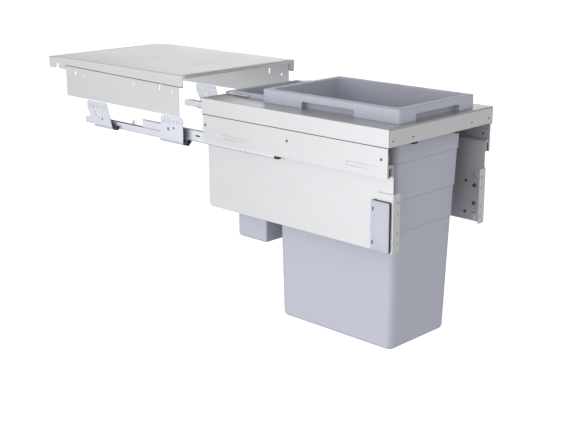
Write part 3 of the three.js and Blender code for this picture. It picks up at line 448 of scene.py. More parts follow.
print("a rounded square has", len(rectangle((0, 10), (0, 10), 2)), "points")


# %% Carrying a section, and stamping a plate
AXES = {"x": [2, 0, 1], "y": [0, 2, 1], "z": [0, 1, 2]}


def lay(flat, along, axis):
    """Points (u, v) with their place along an axis, as (x, y, z). On the axis x they are (y, z), on y they
    are (x, z), and on z they are (x, y)."""
    along = np.broadcast_to(np.asarray(along, dtype=float), flat.shape[:-1])
    return np.concatenate([flat, along[..., None]], axis=-1)[..., AXES[axis]]


def carry(section, stations, axis="y"):
    """A closed section carried along an axis: point (i, j) is section point j at station i. The two ends
    are capped."""
    section = np.asarray(section, dtype=float)
    rows, columns = len(stations), len(section)
    flat = np.broadcast_to(section, (rows, columns, 2))
    points = lay(flat, np.asarray(stations, dtype=float)[:, None], axis)
    first = tuple(range(columns))
    last = tuple(range((rows - 1) * columns, rows * columns))
    return points, grid_faces(rows, columns, wrap_columns=True), [first[::-1], last]


def stamp(loops, low, high, axis, edge=0.25):
    """A flat plate from an anticlockwise outline and clockwise holes. Each loop's wall has four rings: the
    loop moved inwards by the edge radius on one face, the loop just inside each face, and the moved
    loop on the other face."""
    loops = [np.asarray(loop, dtype=float) for loop in loops]
    rings = [(edge, low), (0, low + edge), (0, high - edge), (edge, high)]
    points, walls, fills, start = [], [], [[], []], 0
    for loop in loops:
        shift = inward(loop)
        points += [lay(loop + shift * inset, height, axis) for inset, height in rings]
        walls.append(grid_faces(4, len(loop), wrap_columns=True) + start)
        fills[0].append(np.arange(len(loop)) + start)
        fills[1].append(np.arange(len(loop)) + start + 3 * len(loop))
        start += 4 * len(loop)
    moved = np.concatenate([loop + inward(loop) * edge for loop in loops])
    ends = np.cumsum([0] + [len(loop) for loop in loops])
    sides = [list(range(ends[i], ends[i + 1])) for i in range(len(loops))]
    found = delaunay_2d_cdt([Vector(point) for point in moved], [], sides, 2, 1e-7)
    triangles = np.array([[found[3][k][0] for k in triangle] for triangle in found[2]])
    caps = [np.concatenate(fill)[triangles] for fill in fills]
    return np.concatenate(points), np.concatenate(walls), caps[0], caps[1]


def turned(profile, y, z, side, steps=28, shapes=None):
    """A round piece on an axis along X. Profile rows are (radius, distance from the unit's middle). A row's
    shape multiplies its radius by a function of the angle, for a hexagon or a slot."""
    profile = np.asarray(profile, dtype=float)
    a = np.linspace(0, 2 * np.pi, steps, endpoint=False)
    factor = np.ones((len(profile), steps))
    for row, shape in (shapes or {}).items():
        factor[row] = shape(a)
    radius = profile[:, :1] * factor
    x = np.broadcast_to(side * profile[:, 1:], radius.shape)
    points = np.stack([x, y + radius * np.cos(a), z + radius * np.sin(a)], axis=-1)
    return points, grid_faces(len(profile), steps, wrap_columns=True)


def hexagon(a):
    """The radius of a hexagon over that of the circle inside it: 1 / cos(angle from the nearest flat)."""
    return 1 / np.cos((a + np.pi / 6) % (np.pi / 3) - np.pi / 6)


def driver_slot(a):
    """A narrow rounded rectangle, (|cos a|^8 + |6 sin a|^8)^(-1/8), for a screwdriver."""
    return (np.abs(np.cos(a)) ** 8 + np.abs(6 * np.sin(a)) ** 8) ** (-1 / 8)


def box_parts(x_range, y_range, z_range):
    """A plain closed block, for ribs and webs that are part of a larger piece."""
    return carry(rectangle(x_range, z_range), sorted(y_range))


print("helpers ready")

# %% [markdown]
# ## Waste bins
# Each bin is one thin moulding: a tapering body with round corners that narrows by a small step at each
# seam, and a folded-over rim. It could be modelled as a block that is hollowed out and bevelled. Here
# each level is a rounded rectangle, and the list of levels runs from under the floor, up the outside,
# round the rim and down the inside, so one grid makes the whole wall and it is closed by two floors.
# The rim's skirt is cut up by three grips. Their edges are pairs of columns close together, and the
# skirt's lowest rows are lifted between them.

# %% Sizes that both bins share
FRAME_TOP = corners("bin_frame")[1][2]
WALL = 2.5
SKIRT = 2.0
GAP = 0.3
GROOVE = 0.8


class Bin:
    """A bin's sizes in millimetres, with heights from the frame's top. Taper is how far the body narrows
    from its top to its floor at the side, front and rear."""

    def __init__(self, node, lip, rim_height, radius, rim_radius, taper, seams, seam_step, grips):
        low, high = corners(node)
        self.node = node
        self.half = high[0]
        self.front = low[1]
        self.rear = high[1]
        self.depth = FRAME_TOP - low[2]
        self.lip = lip
        self.rim_height = rim_height
        self.radius = radius
        self.rim_radius = rim_radius
        self.taper = np.array(taper, dtype=float)
        self.seams = np.array(seams, dtype=float)
        self.seam_step = seam_step
        self.grips = grips

    def body(self, drop, passed, inset):
        """Levels of the body as rows of (half width, front, rear, corner radius, height). The body narrows
        evenly by its taper less the steps, and by one step at each seam that it has passed."""
        drop, passed, inset = np.broadcast_arrays(*np.atleast_1d(drop, passed, inset))
        even = self.taper - len(self.seams) * self.seam_step
        sunk = np.maximum(drop, 0)
        narrow = even * (sunk / self.depth)[:, None] + (passed * self.seam_step + inset)[:, None]
        return np.stack([
            self.half - self.lip - narrow[:, 0],
            self.front + self.lip + narrow[:, 1],
            self.rear - self.lip - narrow[:, 2],
            np.maximum(self.radius - inset, 1.0),
            -drop,
        ], axis=1)

    def rim(self, inset, height):
        """Levels of the rim as the same rows, moved inwards by an inset, at heights above the frame."""
        inset, height = np.broadcast_arrays(*np.atleast_1d(inset, height))
        return np.stack([
            self.half - inset,
            self.front + inset,
            self.rear - inset,
            np.maximum(self.rim_radius - inset, 0.5),
            height,
        ], axis=1)


def quarter(radius, steps=5):
    """A quarter circle as two arrays: r (1 - sin a) and r (1 - cos a), for a from 0 to 90 degrees."""
    a = np.linspace(0, np.pi / 2, steps)
    return radius * (1 - np.sin(a)), radius * (1 - np.cos(a))


def body_rows(bin_, inset, foot, groove):
    """The wall from its floor to the frame's top: a rounded foot, then at each seam a groove 1 mm tall and
    as deep as asked, above which the body is one step wider."""
    in_, up = quarter(foot, 7)
    bottom = bin_.depth - inset
    passed = len(bin_.seams)
    rows = [bin_.body(bottom - up, passed, inset + in_)]
    for number in range(passed, 0, -1):
        seam = bin_.seams[number - 1]
        narrow = inset + np.array([0, 0, groove])
        rows.append(bin_.body([seam + 1.5, seam + 1.1, seam + 1.0], number, narrow))
        wide = inset + np.array([bin_.seam_step + groove if groove else 0, 0, 0])
        rows.append(bin_.body([seam, seam - 0.1, seam - 0.5], number - 1, wide))
    return np.concatenate(rows)


def bin_rows(bin_):
    """All levels in order, and the rows that a grip lifts."""
    top, under = bin_.rim_height, bin_.rim_height - WALL
    in_, up = quarter(1.8)
    outside = body_rows(bin_, 0, 9, GROOVE)
    inside = body_rows(bin_, WALL, 14, 0)[::-1]
    neck = bin_.body([0, -(under - 1), -under], 0, [0, 0, -0.8])
    fold = bin_.rim([SKIRT + 0.8, SKIRT], [under, under - 1])
    foot = bin_.rim([SKIRT, SKIRT, SKIRT - 0.5, 0.5, 0.0, 0.0], GAP + np.array([2, 0.4, 0, 0, 0.4, 2]))
    crown = bin_.rim(up, top - in_)
    mouth = bin_.body(-(top - up), 0, WALL - in_)
    rows = [outside, neck, fold, foot, crown, mouth, inside]
    lifted = np.concatenate([np.full(len(part), part is foot) for part in rows])
    return np.concatenate(rows), lifted


def bin_columns(bin_, corner_steps=9):
    """Columns of the grid. Each is a mean of two places on the corners, (corner, angle) A and B with B's
    share, so that a column on a straight side lies between the corners at its ends. The last array says
    which columns lie in a grip."""
    columns = []
    straight = {0: "right", 1: "rear", 2: "left", 3: "front"}
    for corner in range(4):
        start = (corner - 1) * np.pi / 2
        angles = start + np.linspace(0, np.pi / 2, corner_steps)
        columns += [(corner, angle, corner, angle, 0.0, False) for angle in angles]
        side = straight[corner]
        length = 2 * bin_.half if side in ("front", "rear") else bin_.rear - bin_.front
        length -= 2 * bin_.rim_radius
        shares = [(0.1, False), (0.5, side in bin_.grips), (0.9, False)]
        if side in bin_.grips:
            edge = (length - GRIP_WIDTH) / 2 / length
            sliver = 0.3 / length
            shares = [(0.08, False), (edge - sliver, False), (edge, True), (0.5, True)]
            shares += [(1 - edge, True), (1 - edge + sliver, False), (0.92, False)]
        ahead = (corner + 1) % 4
        columns += [(corner, angles[-1], ahead, angles[-1], share, inside) for share, inside in shares]
    return [np.array(values) for values in zip(*columns)]


def bin_shell(bin_):
    """The grid of levels and columns. A corner's point is its centre, one radius in from two sides, plus
    r (cos a, sin a)."""
    rows, lifted = bin_rows(bin_)
    corner_a, angle_a, corner_b, angle_b, share, in_grip = bin_columns(bin_)
    half, front, rear, radius, height = (value[:, None] for value in rows.T)
    sign = np.array([1, 1, -1, -1])
    behind = np.array([0, 1, 1, 0])

    def on_corner(corner, angle):
        """The place at an angle on a corner's arc, for every level at once."""
        x = sign[corner] * (half - radius) + radius * np.cos(angle)
        y = np.where(behind[corner], rear - radius, front + radius) + radius * np.sin(angle)
        return x, y

    (xa, ya), (xb, yb) = on_corner(corner_a, angle_a), on_corner(corner_b, angle_b)
    lift = np.outer(lifted, in_grip) * (GRIP_HEIGHT - GAP)
    x, y = xa * (1 - share) + xb * share, ya * (1 - share) + yb * share
    points = np.stack([x, y, FRAME_TOP + height + lift], axis=-1)
    count = points.shape[1]
    floors = [tuple(range(count))[::-1], tuple(range((len(rows) - 1) * count, len(rows) * count))]
    return points, grid_faces(len(rows), count, wrap_columns=True), floors


GRIP_WIDTH = 146
GRIP_HEIGHT = 15
big = Bin("big_bin", 14.5, 30, 15, 4, (15, 19, 11), (84, 163, 232.5), 1.5, ("left", "right", "front"))
small = Bin("small_bin", 4.5, 11, 4, 5, (1.5, 7, 1.6), (120,), 1, ())
print("the big bin's grid is", bin_shell(big)[0].shape[:2])

# %% [markdown]
# ### The grips
# Behind each cut in the rim there is a closed pocket: a rib at each end joins the skirt to the body.
# Without the ribs one would see into the hollow rim.


# %% The big bin with its grip ribs, and the small bin
def grip_ribs(bin_):
    """Two ribs at each grip, from the skirt to the body, as plain blocks."""
    reach = GRIP_WIDTH / 2
    tall = (FRAME_TOP + GAP + 0.5, FRAME_TOP + bin_.rim_height - WALL + 0.5)
    middle = (bin_.front + bin_.rear) / 2
    blocks = []
    for end in (-1, 1):
        across = (end * (reach + 0.4), end * (reach + 2.2))
        along = (middle + across[0], middle + across[1])
        for side in SIDES.values():
            deep = (side * (bin_.half - 1), side * (bin_.half - bin_.lip - 0.5))
            blocks.append(box_parts(deep, along, tall))
        blocks.append(box_parts(across, (bin_.front + 1, bin_.front + bin_.lip + 0.5), tall))
    return blocks


big_parts = Parts().add(*bin_shell(big))
for block in grip_ribs(big):
    big_parts.add(*block)
big_piece = big_parts.piece("big_bin_moulding", BIN, "bin_plastic", "big_bin", "big_bin", smooth=38)
small_piece = Parts().add(*bin_shell(small)).piece(
    "small_bin_moulding", BIN, "bin_plastic", "small_bin", "small_bin", smooth=38,
)
print("faces", len(big_piece.data.polygons), "and", len(small_piece.data.polygons))

# %% [markdown]
# ### The small bin's handle
# A steel wire lies back over the frame and turns up about its two ends, which go into the rim. It is a
# circle carried along a bent line, and the line lies flat, so the circle needs only the line's own left
# and the upward direction.


# %% The wire handle
def wire(path, radius, height, steps=14):
    """Point (i, j) is path point i plus r (cos a, sin a) in the path's left and up directions."""
    a = np.linspace(0, 2 * np.pi, steps, endpoint=False)
    left = unit(inward(path, closed=False))
    flat = path[:, None] + radius * np.cos(a)[None, :, None] * left[:, None]
    level = np.broadcast_to(height + radius * np.sin(a), flat.shape[:2])
    points = np.concatenate([flat, level[..., None]], axis=-1)
    count = len(path)
    ends = [tuple(range(steps))[::-1], tuple(range((count - 1) * steps, count * steps))]
    return points, grid_faces(count, steps, wrap_columns=True), ends


wire_low, wire_high = corners("small_bin_bail")
wire_radius = (wire_high[2] - wire_low[2]) / 2
reach_x = wire_high[0] - wire_radius
pivot_y = wire_low[1] + wire_radius
rear_y = wire_high[1] - wire_radius
into = small.half - 1
wire_corners = [
    (into, pivot_y), (reach_x, pivot_y), (reach_x, rear_y),
    (-reach_x, rear_y), (-reach_x, pivot_y), (-into, pivot_y),
]
wire_line = rounded(wire_corners, [0, 2.2, 13, 13, 2.2, 0], 9, closed=False)
wire_height = (wire_low[2] + wire_high[2]) / 2
Parts().add(*wire(wire_line, wire_radius, wire_height)).piece(
    "small_bin_wire_handle", ZINC, "zinc_steel", "bail", "small_bin_bail", smooth=50,
)
print("the wire line has", len(wire_line), "points")

# %% [markdown]
# ## The frame
# The bins hang in a frame folded from one sheet: a top with an opening for each bin, and a flange down
# each of its four sides. At the front corners a fine slit is left where two flanges meet, so that the
# sheet doesn't tear when it is folded. The top is stamped, and each fold is a section carried along its
# edge.

# %% The frame's top
SHEET = 1.2
FOLD = 1.6
SLIT = 0.8
frame_low, frame_high = corners("bin_frame")
frame_side, frame_rear = frame_high[0], frame_high[1]
frame_parts = Parts()
outline = rectangle((FOLD - frame_side, frame_side - FOLD), (FOLD, frame_rear - FOLD))
openings = []
for bin_, clearance in ((big, 4), (small, 2.5)):
    half_opening = bin_.half - bin_.lip + clearance
    along = (bin_.front + bin_.lip - clearance, bin_.rear - bin_.lip + clearance)
    openings.append(rectangle((-half_opening, half_opening), along, bin_.radius * 0.75)[::-1])
frame_parts.add(*stamp([outline, *openings], FRAME_TOP - SHEET, FRAME_TOP, "z", 0.05))
print("openings", [len(opening) for opening in openings])

# %% The frame's flanges
HOLE = 4.5
HOLE_DROP = 24.5
flange_low = frame_low[2]
side_line = rounded(
    [(frame_side - FOLD - 0.4, FRAME_TOP), (frame_side, FRAME_TOP), (frame_side, flange_low)],
    FOLD, 6, closed=False,
)
for side in SIDES.values():
    section = sheet_section(side_line, -SHEET) * (side, 1)
    frame_parts.add(*carry(section, (0, frame_rear)))
front_line = rounded(
    [(FOLD + 0.4, FRAME_TOP), (0, FRAME_TOP), (0, FRAME_TOP - FOLD - 1)],
    FOLD, 6, closed=False,
)
width = frame_side - SHEET - SLIT
front_section = sheet_section(front_line, SHEET)
rear_section = front_section * (-1, 1) + (frame_rear, 0)
for section in (front_section, rear_section):
    frame_parts.add(*carry(section, (-width, width), "x"))
holes = [circle(side * x, FRAME_TOP - HOLE_DROP, HOLE) for side in (-1, 1) for x in (99, 161)]
flange = rectangle((-width, width), (flange_low, FRAME_TOP - FOLD))
frame_parts.add(*stamp([flange, *holes], 0, SHEET, "y", 0.15))
frame_parts.add(*stamp([flange], frame_rear - SHEET, frame_rear, "y", 0.15))
frame_parts.piece("bin_frame_sheet", STEEL, "sheet_steel", "pullout", "bin_frame", smooth=32)

# %% [markdown]
# ## Side skins
# A skin closes the runner channel on each side of the frame. Two shallow oblongs are pressed into it.
# Each is deepest at its round rear end and runs out to nothing at its front, so only one end shows. The
# skin is a height field on a grid that is fine where the pressing is and coarse elsewhere.


# %% Pressed side skins
PRESSED_DEPTH = 1.5
PRESSED_EDGE = 0.8
PRESSED_HALF = 4.2
PRESSED_DROP = 81
PRESSED_FRONT = (22, 110)
PRESSED_REAR = (383, 473)


def pressing(y, z, front, rear, middle):
    """Depth times a ramp times a smooth step. The step falls from 1 to 0 over the pressing's edge, where
    the distance is measured from a line with a round rear end. The ramp rises from 0 at the front."""
    along = np.minimum(y, rear - PRESSED_HALF)
    distance = np.hypot(y - along, z - middle)
    edge = np.clip((PRESSED_HALF - distance) / PRESSED_EDGE + 0.5, 0, 1)
    ramp = np.clip((y - front) / (rear - front), 0, 1)
    return PRESSED_DEPTH * ramp * edge * edge * (3 - 2 * edge)


def span(*stops):
    """Values between stops. Each stop after the first is (end, step), and its part is divided evenly."""
    parts = [np.array([stops[0]], dtype=float)]
    for end, step in stops[1:]:
        start = parts[-1][-1]
        parts.append(np.linspace(start, end, max(1, round((end - start) / step)) + 1)[1:])
    return np.concatenate(parts)


def edge_ring(rows, columns):
    """The indices of a grid's edge points, in order round it."""
    i, j = np.arange(rows), np.arange(columns)
    return np.concatenate([
        i[:-1] * columns, (rows - 1) * columns + j[:-1],
        i[:0:-1] * columns + columns - 1, j[:0:-1],
    ])


def two_faced(outer, inner):
    """A closed sheet from its outer and inner faces, which have the same grid."""
    rows, columns = outer.shape[:2]
    faces = grid_faces(rows, columns)
    ring = edge_ring(rows, columns)
    count = rows * columns
    wall = np.stack([ring, np.roll(ring, -1), np.roll(ring, -1) + count, ring + count], axis=1)
    return np.concatenate([outer.reshape(-1, 3), inner.reshape(-1, 3)]), faces, faces + count, wall


def side_skin(word, side):
    """Two grids, one on each face of the sheet: the skin's outer face, which is sunk by the pressings, and
    its copy one sheet further in."""
    node = f"side_skin_{word}"
    low, high = corners(node)
    middle = FRAME_TOP - PRESSED_DROP
    y = span(low[1], (15, 4), (112, 1), (376, 12), (476, 1), (high[1], 6))
    z = span(low[2], (middle - 6, 2), (middle + 6, 0.4), (high[2], 8))
    yy, zz = np.meshgrid(y, z, indexing="ij")
    sunk = pressing(yy, zz, *PRESSED_FRONT, middle) + pressing(yy, zz, *PRESSED_REAR, middle)
    outer = np.max(np.abs([low[0], high[0]]))
    shells = [np.stack([side * (outer - thick - sunk), yy, zz], axis=-1) for thick in (0, SHEET)]
    parts = Parts().add(*two_faced(*shells))
    return parts.piece(f"{node}_pressed", STEEL, "sheet_steel", "pullout", node, smooth=50)


for word, side in SIDES.items():
    skin = side_skin(word, side)
print("a skin has", len(skin.data.polygons), "faces")

# %% [markdown]
# ### Painted shade strips
# Under the frame's flange and under the cover's, a black strip is painted shade. It stands for the shadow
# in the gap below the flange, and only its edge shows, as a fine dark line. The strip is a thin section
# that follows the flange's lower edge.


# %% A strip of painted shade along a lower edge
def painted_shade_strip(name, body, side, y, edge, near, far, tall):
    """A black strip of painted shade: four points at each place along the edge, and the strip hangs the
    given height below it.
    """
    drop = np.array([0.0, 0.0, tall, tall])
    x = np.array([near, far, far, near]) * side
    shape = (len(y), 4)
    height = edge[:, None] - drop
    points = np.stack([np.broadcast_to(x, shape), np.broadcast_to(y[:, None], shape), height], axis=-1)
    ends = [(3, 2, 1, 0), tuple(range(len(y) * 4 - 4, len(y) * 4))]
    parts = Parts().add(points, grid_faces(len(y), 4, wrap_columns=True), ends)
    return parts.piece(name, BLACK, "black_plastic", body, smooth=40)


# A black strip under each side of the frame's flange is painted shade for the shadow in the gap.
for word, side in SIDES.items():
    skin_x = max(np.abs([corners(f"side_skin_{word}")[0][0], corners(f"side_skin_{word}")[1][0]]))
    y = np.array([0.2, frame_rear - 1.2])
    painted_shade_strip(f"frame_seal_{word}", "pullout", side, y, np.full(2, flange_low), skin_x, skin_x + 0.8, 1.9)
print("frame painted shade strips", round(frame_rear), "mm long")

# %% [markdown]
# ## Side panels
# Below the skin, each panel hangs beside its bin. One sheet makes the panel, the shelf over the runner
# and the lip that is riveted to the skin. The flat panel is stamped, and the bends above it are one
# section with three legs.

# %% Side panels
ADJUST_Y = 24
CAM_Z = FRAME_TOP - 156
COVER_SCREW_Y = 46.7
COVER_SCREW_HEIGHTS = (FRAME_TOP - 166.5, FRAME_TOP - 236)


def side_panel(word, side):
    """A stamped blank with rounded lower corners, and the bends above it as one carried section: up, out
    over the runner, and up again along the skin."""
    node = f"side_panel_{word}"
    low, high = corners(node)
    lip_x = max(abs(low[0]), abs(high[0]))
    inner = min(abs(low[0]), abs(high[0]))
    outer = inner + SHEET
    shelf = FRAME_TOP - 72.4
    line = [(outer, shelf - 4), (outer, shelf - SHEET), (lip_x, shelf - SHEET), (lip_x, high[2])]
    bends = rounded(line, [0, 1.2, 2.2, 0], 6, closed=False)
    section = sheet_section(bends, SHEET) * (side, 1)
    parts = Parts().add(*carry(section, (low[1] + 1.5, frame_rear - SHEET - GAP)))
    blank = rounded(
        [(low[1], low[2]), (high[1], low[2]), (high[1], shelf - 4), (low[1], shelf - 4)],
        [1.5, 8, 1, 1],
    )
    holes = [circle(COVER_SCREW_Y, height, 4.1) for height in COVER_SCREW_HEIGHTS]
    faces = sorted((side * inner, side * outer))
    parts.add(*stamp([blank, *holes], *faces, "x", 0.15))
    return parts.piece(f"{node}_sheet", STEEL, "sheet_steel", "pullout", node, smooth=32)


for word, side in SIDES.items():
    print(side_panel(word, side).name)

# %% [markdown]
# ## The cover
# A folded cover stays over the bins when they are pushed in. Its front edge turns down in a soft roll,
# a strip along its rear is stepped down, and its side flanges get shorter towards the rear and then
# deepen again round a notch. The top and both flanges are one grid: across the cover runs a line with
# two bends, and along it the flange's lower edge and the step change. The grid is one sheet thick.

# %% The cover's top and side flanges
cover_low, cover_high = corners("cover_plate")
cover_side, cover_front = cover_high[0], cover_low[1]
cover_rear, cover_top = cover_high[1], cover_high[2]
BAND = 34
STEP = 2.5
ROLL = 5.5
REAR_FLANGE = 18
FLANGE_FRONT = 27
FLANGE_REAR = 18.5
TAIL = 30
NOTCH_DEPTH = 12
band_front = cover_rear - BAND
plate_rear = corners("side_plate_left")[1][1]
notch = (band_front - 6, band_front + 6)


def flange_depth(y):
    """How far the side flange hangs below the cover's top: an even taper from front to rear along the side
    plate, less a quarter circle of 5 at the front corner, and the tail behind the plate, less its notch."""
    along = np.clip((y - cover_front) / (plate_rear - cover_front), 0, 1)
    depth = FLANGE_FRONT - (FLANGE_FRONT - FLANGE_REAR) * along
    corner = np.clip(1 - (y - cover_front) / 5, 0, 1)
    depth = depth - 5 * (1 - np.sqrt(1 - corner ** 2))
    depth = np.where(y > plate_rear + 0.1, float(TAIL), depth)
    return np.where((y > notch[0] + 0.1) & (y < notch[1] - 0.1), float(TAIL - NOTCH_DEPTH), depth)


def rear_step(y):
    """A smooth step down between the flat top and the strip along the rear."""
    share = np.clip((y - band_front + 2.5) / 5, 0, 1)
    return STEP * share * share * (3 - 2 * share)


def cover_sheet(inset):
    """Rows run along the cover and columns across it. A column is (x, share of the flange, height of the
    bend), and the flange's part falls to its lower edge."""
    bend = 2.0 - inset
    a = np.linspace(0, np.pi / 2, 7)
    side_x = cover_side - inset
    x = np.concatenate([[side_x] * 3, side_x - bend * (1 - np.cos(a)), [side_x * 0.5]])
    down = np.concatenate([[1.0, 0.5, 0.05], np.zeros(8)])
    drop = np.concatenate([[2.0] * 3, inset + bend * (1 - np.sin(a)), [inset]])
    x, down = np.concatenate([-x, x[::-1]]), np.concatenate([down, down[::-1]])
    drop = np.concatenate([drop, drop[::-1]])
    cuts = [(plate_rear, 0.2), (notch[0], 0.2), (notch[1], 0.2)]
    edges = [place + shift for place, width in cuts for shift in (0, width)]
    before, behind = band_front - 3, band_front + 3
    curve = span(cover_front, (cover_front + 5, 0.7), (before, 20), (behind, 0.6), (cover_rear, 6))
    y = np.unique(np.concatenate([curve, edges]))
    height = cover_top - drop[None, :] - rear_step(y)[:, None]
    edge = (cover_top - flange_depth(y))[:, None]
    height = np.where(down[None, :] > 0, height + (edge - height) * down[None, :], height)
    shape = height.shape
    return np.stack([np.broadcast_to(x, shape), np.broadcast_to(y[:, None], shape), height], axis=-1)


cover_parts = Parts().add(*two_faced(cover_sheet(0.0), cover_sheet(SHEET)))

# %% The cover's front roll and rear flange
a = np.linspace(0, np.pi * 0.62, 12)
roll_line = np.stack([cover_front + ROLL - ROLL * np.sin(a), cover_top - ROLL * (1 - np.cos(a))], axis=1)
roll_line = np.concatenate([[(cover_front + ROLL + 3, cover_top)], roll_line])
roll_half = cover_side - 9
cover_parts.add(*carry(sheet_section(roll_line, SHEET), (-roll_half, roll_half), "x"))
band_top = cover_top - STEP
rear_line = rounded(
    [(cover_rear - 5, band_top), (cover_rear, band_top), (cover_rear, band_top - REAR_FLANGE)],
    2, 6, closed=False,
)
rear_half = cover_side - SHEET - 0.4
cover_parts.add(*carry(sheet_section(rear_line, -SHEET), (-rear_half, rear_half), "x"))
cover_parts.piece("cover_sheet", STEEL, "sheet_steel", "root", "cover_plate", smooth=40)
# A black strip under each side flange of the cover is painted shade for the shadow in the gap.
for word, side in SIDES.items():
    y = span(cover_front + 0.6, (cover_front + 6, 0.6), (plate_rear - 1, 30))
    edge = cover_top - flange_depth(y) + 0.3
    painted_shade_strip(f"cover_seal_{word}", "root", side, y, edge, cover_side - SHEET - GAP, cover_side - 0.4, 2.1)
print("the cover's roll has", len(roll_line), "points")

# %% [markdown]
# ## Side plates
# Two plates inside the cover's flanges screw to the cabinet. Each is stamped with its screw holes, and a
# narrow lip at the top holds the cover.


# %% Side plates
def keyhole(u, v, diameter, neck, height, steps=16):
    """Clockwise: most of a circle, and half a smaller circle at the top of the narrow slot above it."""
    bite = math.asin(neck / diameter)
    a = np.linspace(np.pi / 2 - bite, -3 * np.pi / 2 + bite, steps)
    b = np.linspace(np.pi, 0, 8)
    lower = np.stack([u + diameter / 2 * np.cos(a), v + diameter / 2 * np.sin(a)], axis=1)
    upper = np.stack([u + neck / 2 * np.cos(b), v + height - neck / 2 + neck / 2 * np.sin(b)], axis=1)
    return np.concatenate([lower, upper])


def side_plate(word, side):
    """A stamped blank, each of whose holes is placed from the nearer end, and a carried lip that turns
    inwards at its top."""
    node = f"side_plate_{word}"
    low, high = corners(node)
    top, front, rear = high[2], low[1], high[1]
    outer = max(abs(low[0]), abs(high[0]))
    line = rounded([(outer - 14, top), (outer, top), (outer, top - 3)], 1.8, 6, closed=False)
    section = sheet_section(line, -SHEET) * (side, 1)
    holes = [
        circle(front + 25, FRAME_TOP + 3, 6),
        slotted(front + 68.5, FRAME_TOP + 8, 15, 5),
        circle(front + 167, FRAME_TOP + 4, 6),
        circle(rear - 75, FRAME_TOP + 3.4, 6),
        keyhole(rear - 40, FRAME_TOP + 7, 8, 4.5, 12),
    ]
    blank = rectangle((front, rear), (low[2], top - 2.6), 0.8)
    parts = Parts().add(*carry(section, (front, rear)))
    parts.add(*stamp([blank, *holes], *sorted((side * (outer - SHEET), side * outer)), "x", 0.15))
    return parts.piece(f"{node}_sheet", STEEL, "sheet_steel", "root", node, smooth=32)


for word, side in SIDES.items():
    print(side_plate(word, side).name)

# %% [markdown]
# ## Runner brackets
# Four brackets of thicker, zinc-plated steel carry the cabinet rails. A row of upright slots lets the
# fitter set their height. The upright part is stamped, and its foot bends in under the rail.

# %% Runner brackets
PLATE = 2.0
UNIT_SIDE = cover_side
RAIL_INNER = -corners("cabinet_rail_left")[1][0]
bracket_top = corners("runner_bracket_front_left")[1][2]
slot_height = bracket_top - 12


def slot_row(front, places, tall):
    """Upright slots 8 mm tall at distances from the front, and one of 13 mm that the fitter starts with."""
    return [slotted(front + at, slot_height, 13 if i == tall else 8, 3) for i, at in enumerate(places)]


def runner_bracket(node, side, blank, holes, foot_rear):
    """The stamped upright part, and a foot carried along it that bends in under the rail."""
    low, high = corners(node)
    foot_line = rounded(
        [(UNIT_SIDE, low[2] + 5), (UNIT_SIDE, low[2]), (RAIL_INNER, low[2])],
        3, 7, closed=False,
    )
    section = sheet_section(foot_line, -PLATE) * (side, 1)
    parts = Parts().add(*carry(section, (low[1], foot_rear)))
    parts.add(*stamp([blank, *holes], *sorted((side * (UNIT_SIDE - PLATE), side * UNIT_SIDE)), "x", 0.3))
    return parts.piece(f"{node}_pressed", ZINC, "zinc_steel", "root", node, smooth=32)


for word, side in SIDES.items():
    node = f"runner_bracket_front_{word}"
    low, high = corners(node)
    front, rear, base = low[1], high[1], low[2] + 4
    blank = rounded([(front, base), (rear, base), (rear - 6, high[2]), (front, high[2])], [0.5, 0.5, 6, 9])
    holes = slot_row(front, [12, 21, 31, 45, 54, 63.5, 73], 3)
    holes += [circle(front + 32, bracket_top - 27, 6), circle(front + 51, bracket_top - 31, 8)]
    runner_bracket(node, side, blank, holes, rear)
    node = f"runner_bracket_rear_{word}"
    low, high = corners(node)
    front, base = low[1], low[2] + 4
    blank = rounded([
        (front + 1.5, base), (front + 75, base), (front + 86, bracket_top - 40),
        (front + 101, bracket_top - 21), (front + 101, bracket_top), (front + 23, bracket_top),
    ], [0.5, 1, 12, 8, 5, 6])
    holes = slot_row(front, [29, 38.5, 49, 59, 75, 84, 93], 4)
    holes.append(circle(front + 41, bracket_top - 41, 6))
    holes.append(slotted(front + 62, bracket_top - 32, 20, 4, np.pi / 4))
    runner_bracket(node, side, blank, holes, front + 75)
print("bracket height", round(bracket_top - low[2], 1), "mm")

# %% [markdown]
# ## Rails
# Each runner has three rails: a channel on the cabinet that is open at the top, a channel under the
# frame that is open at the bottom, and a box between them. They are rolled from strip, so their bends
# are round. Each rail is a section carried along its length.


# %% Rails
RAIL_WALL = 1.5
MIDDLE_WALL = 1.4


def channel(inner, outer, closed_end, open_end, sheet):
    """A U-shaped section from one open end to the other, with round bends."""
    line = [(inner, open_end), (inner, closed_end), (outer, closed_end), (outer, open_end)]
    turn = 1 if closed_end < open_end else -1
    return sheet_section(rounded(line, [0, 2.2, 2.2, 0], 6, closed=False), sheet * turn)


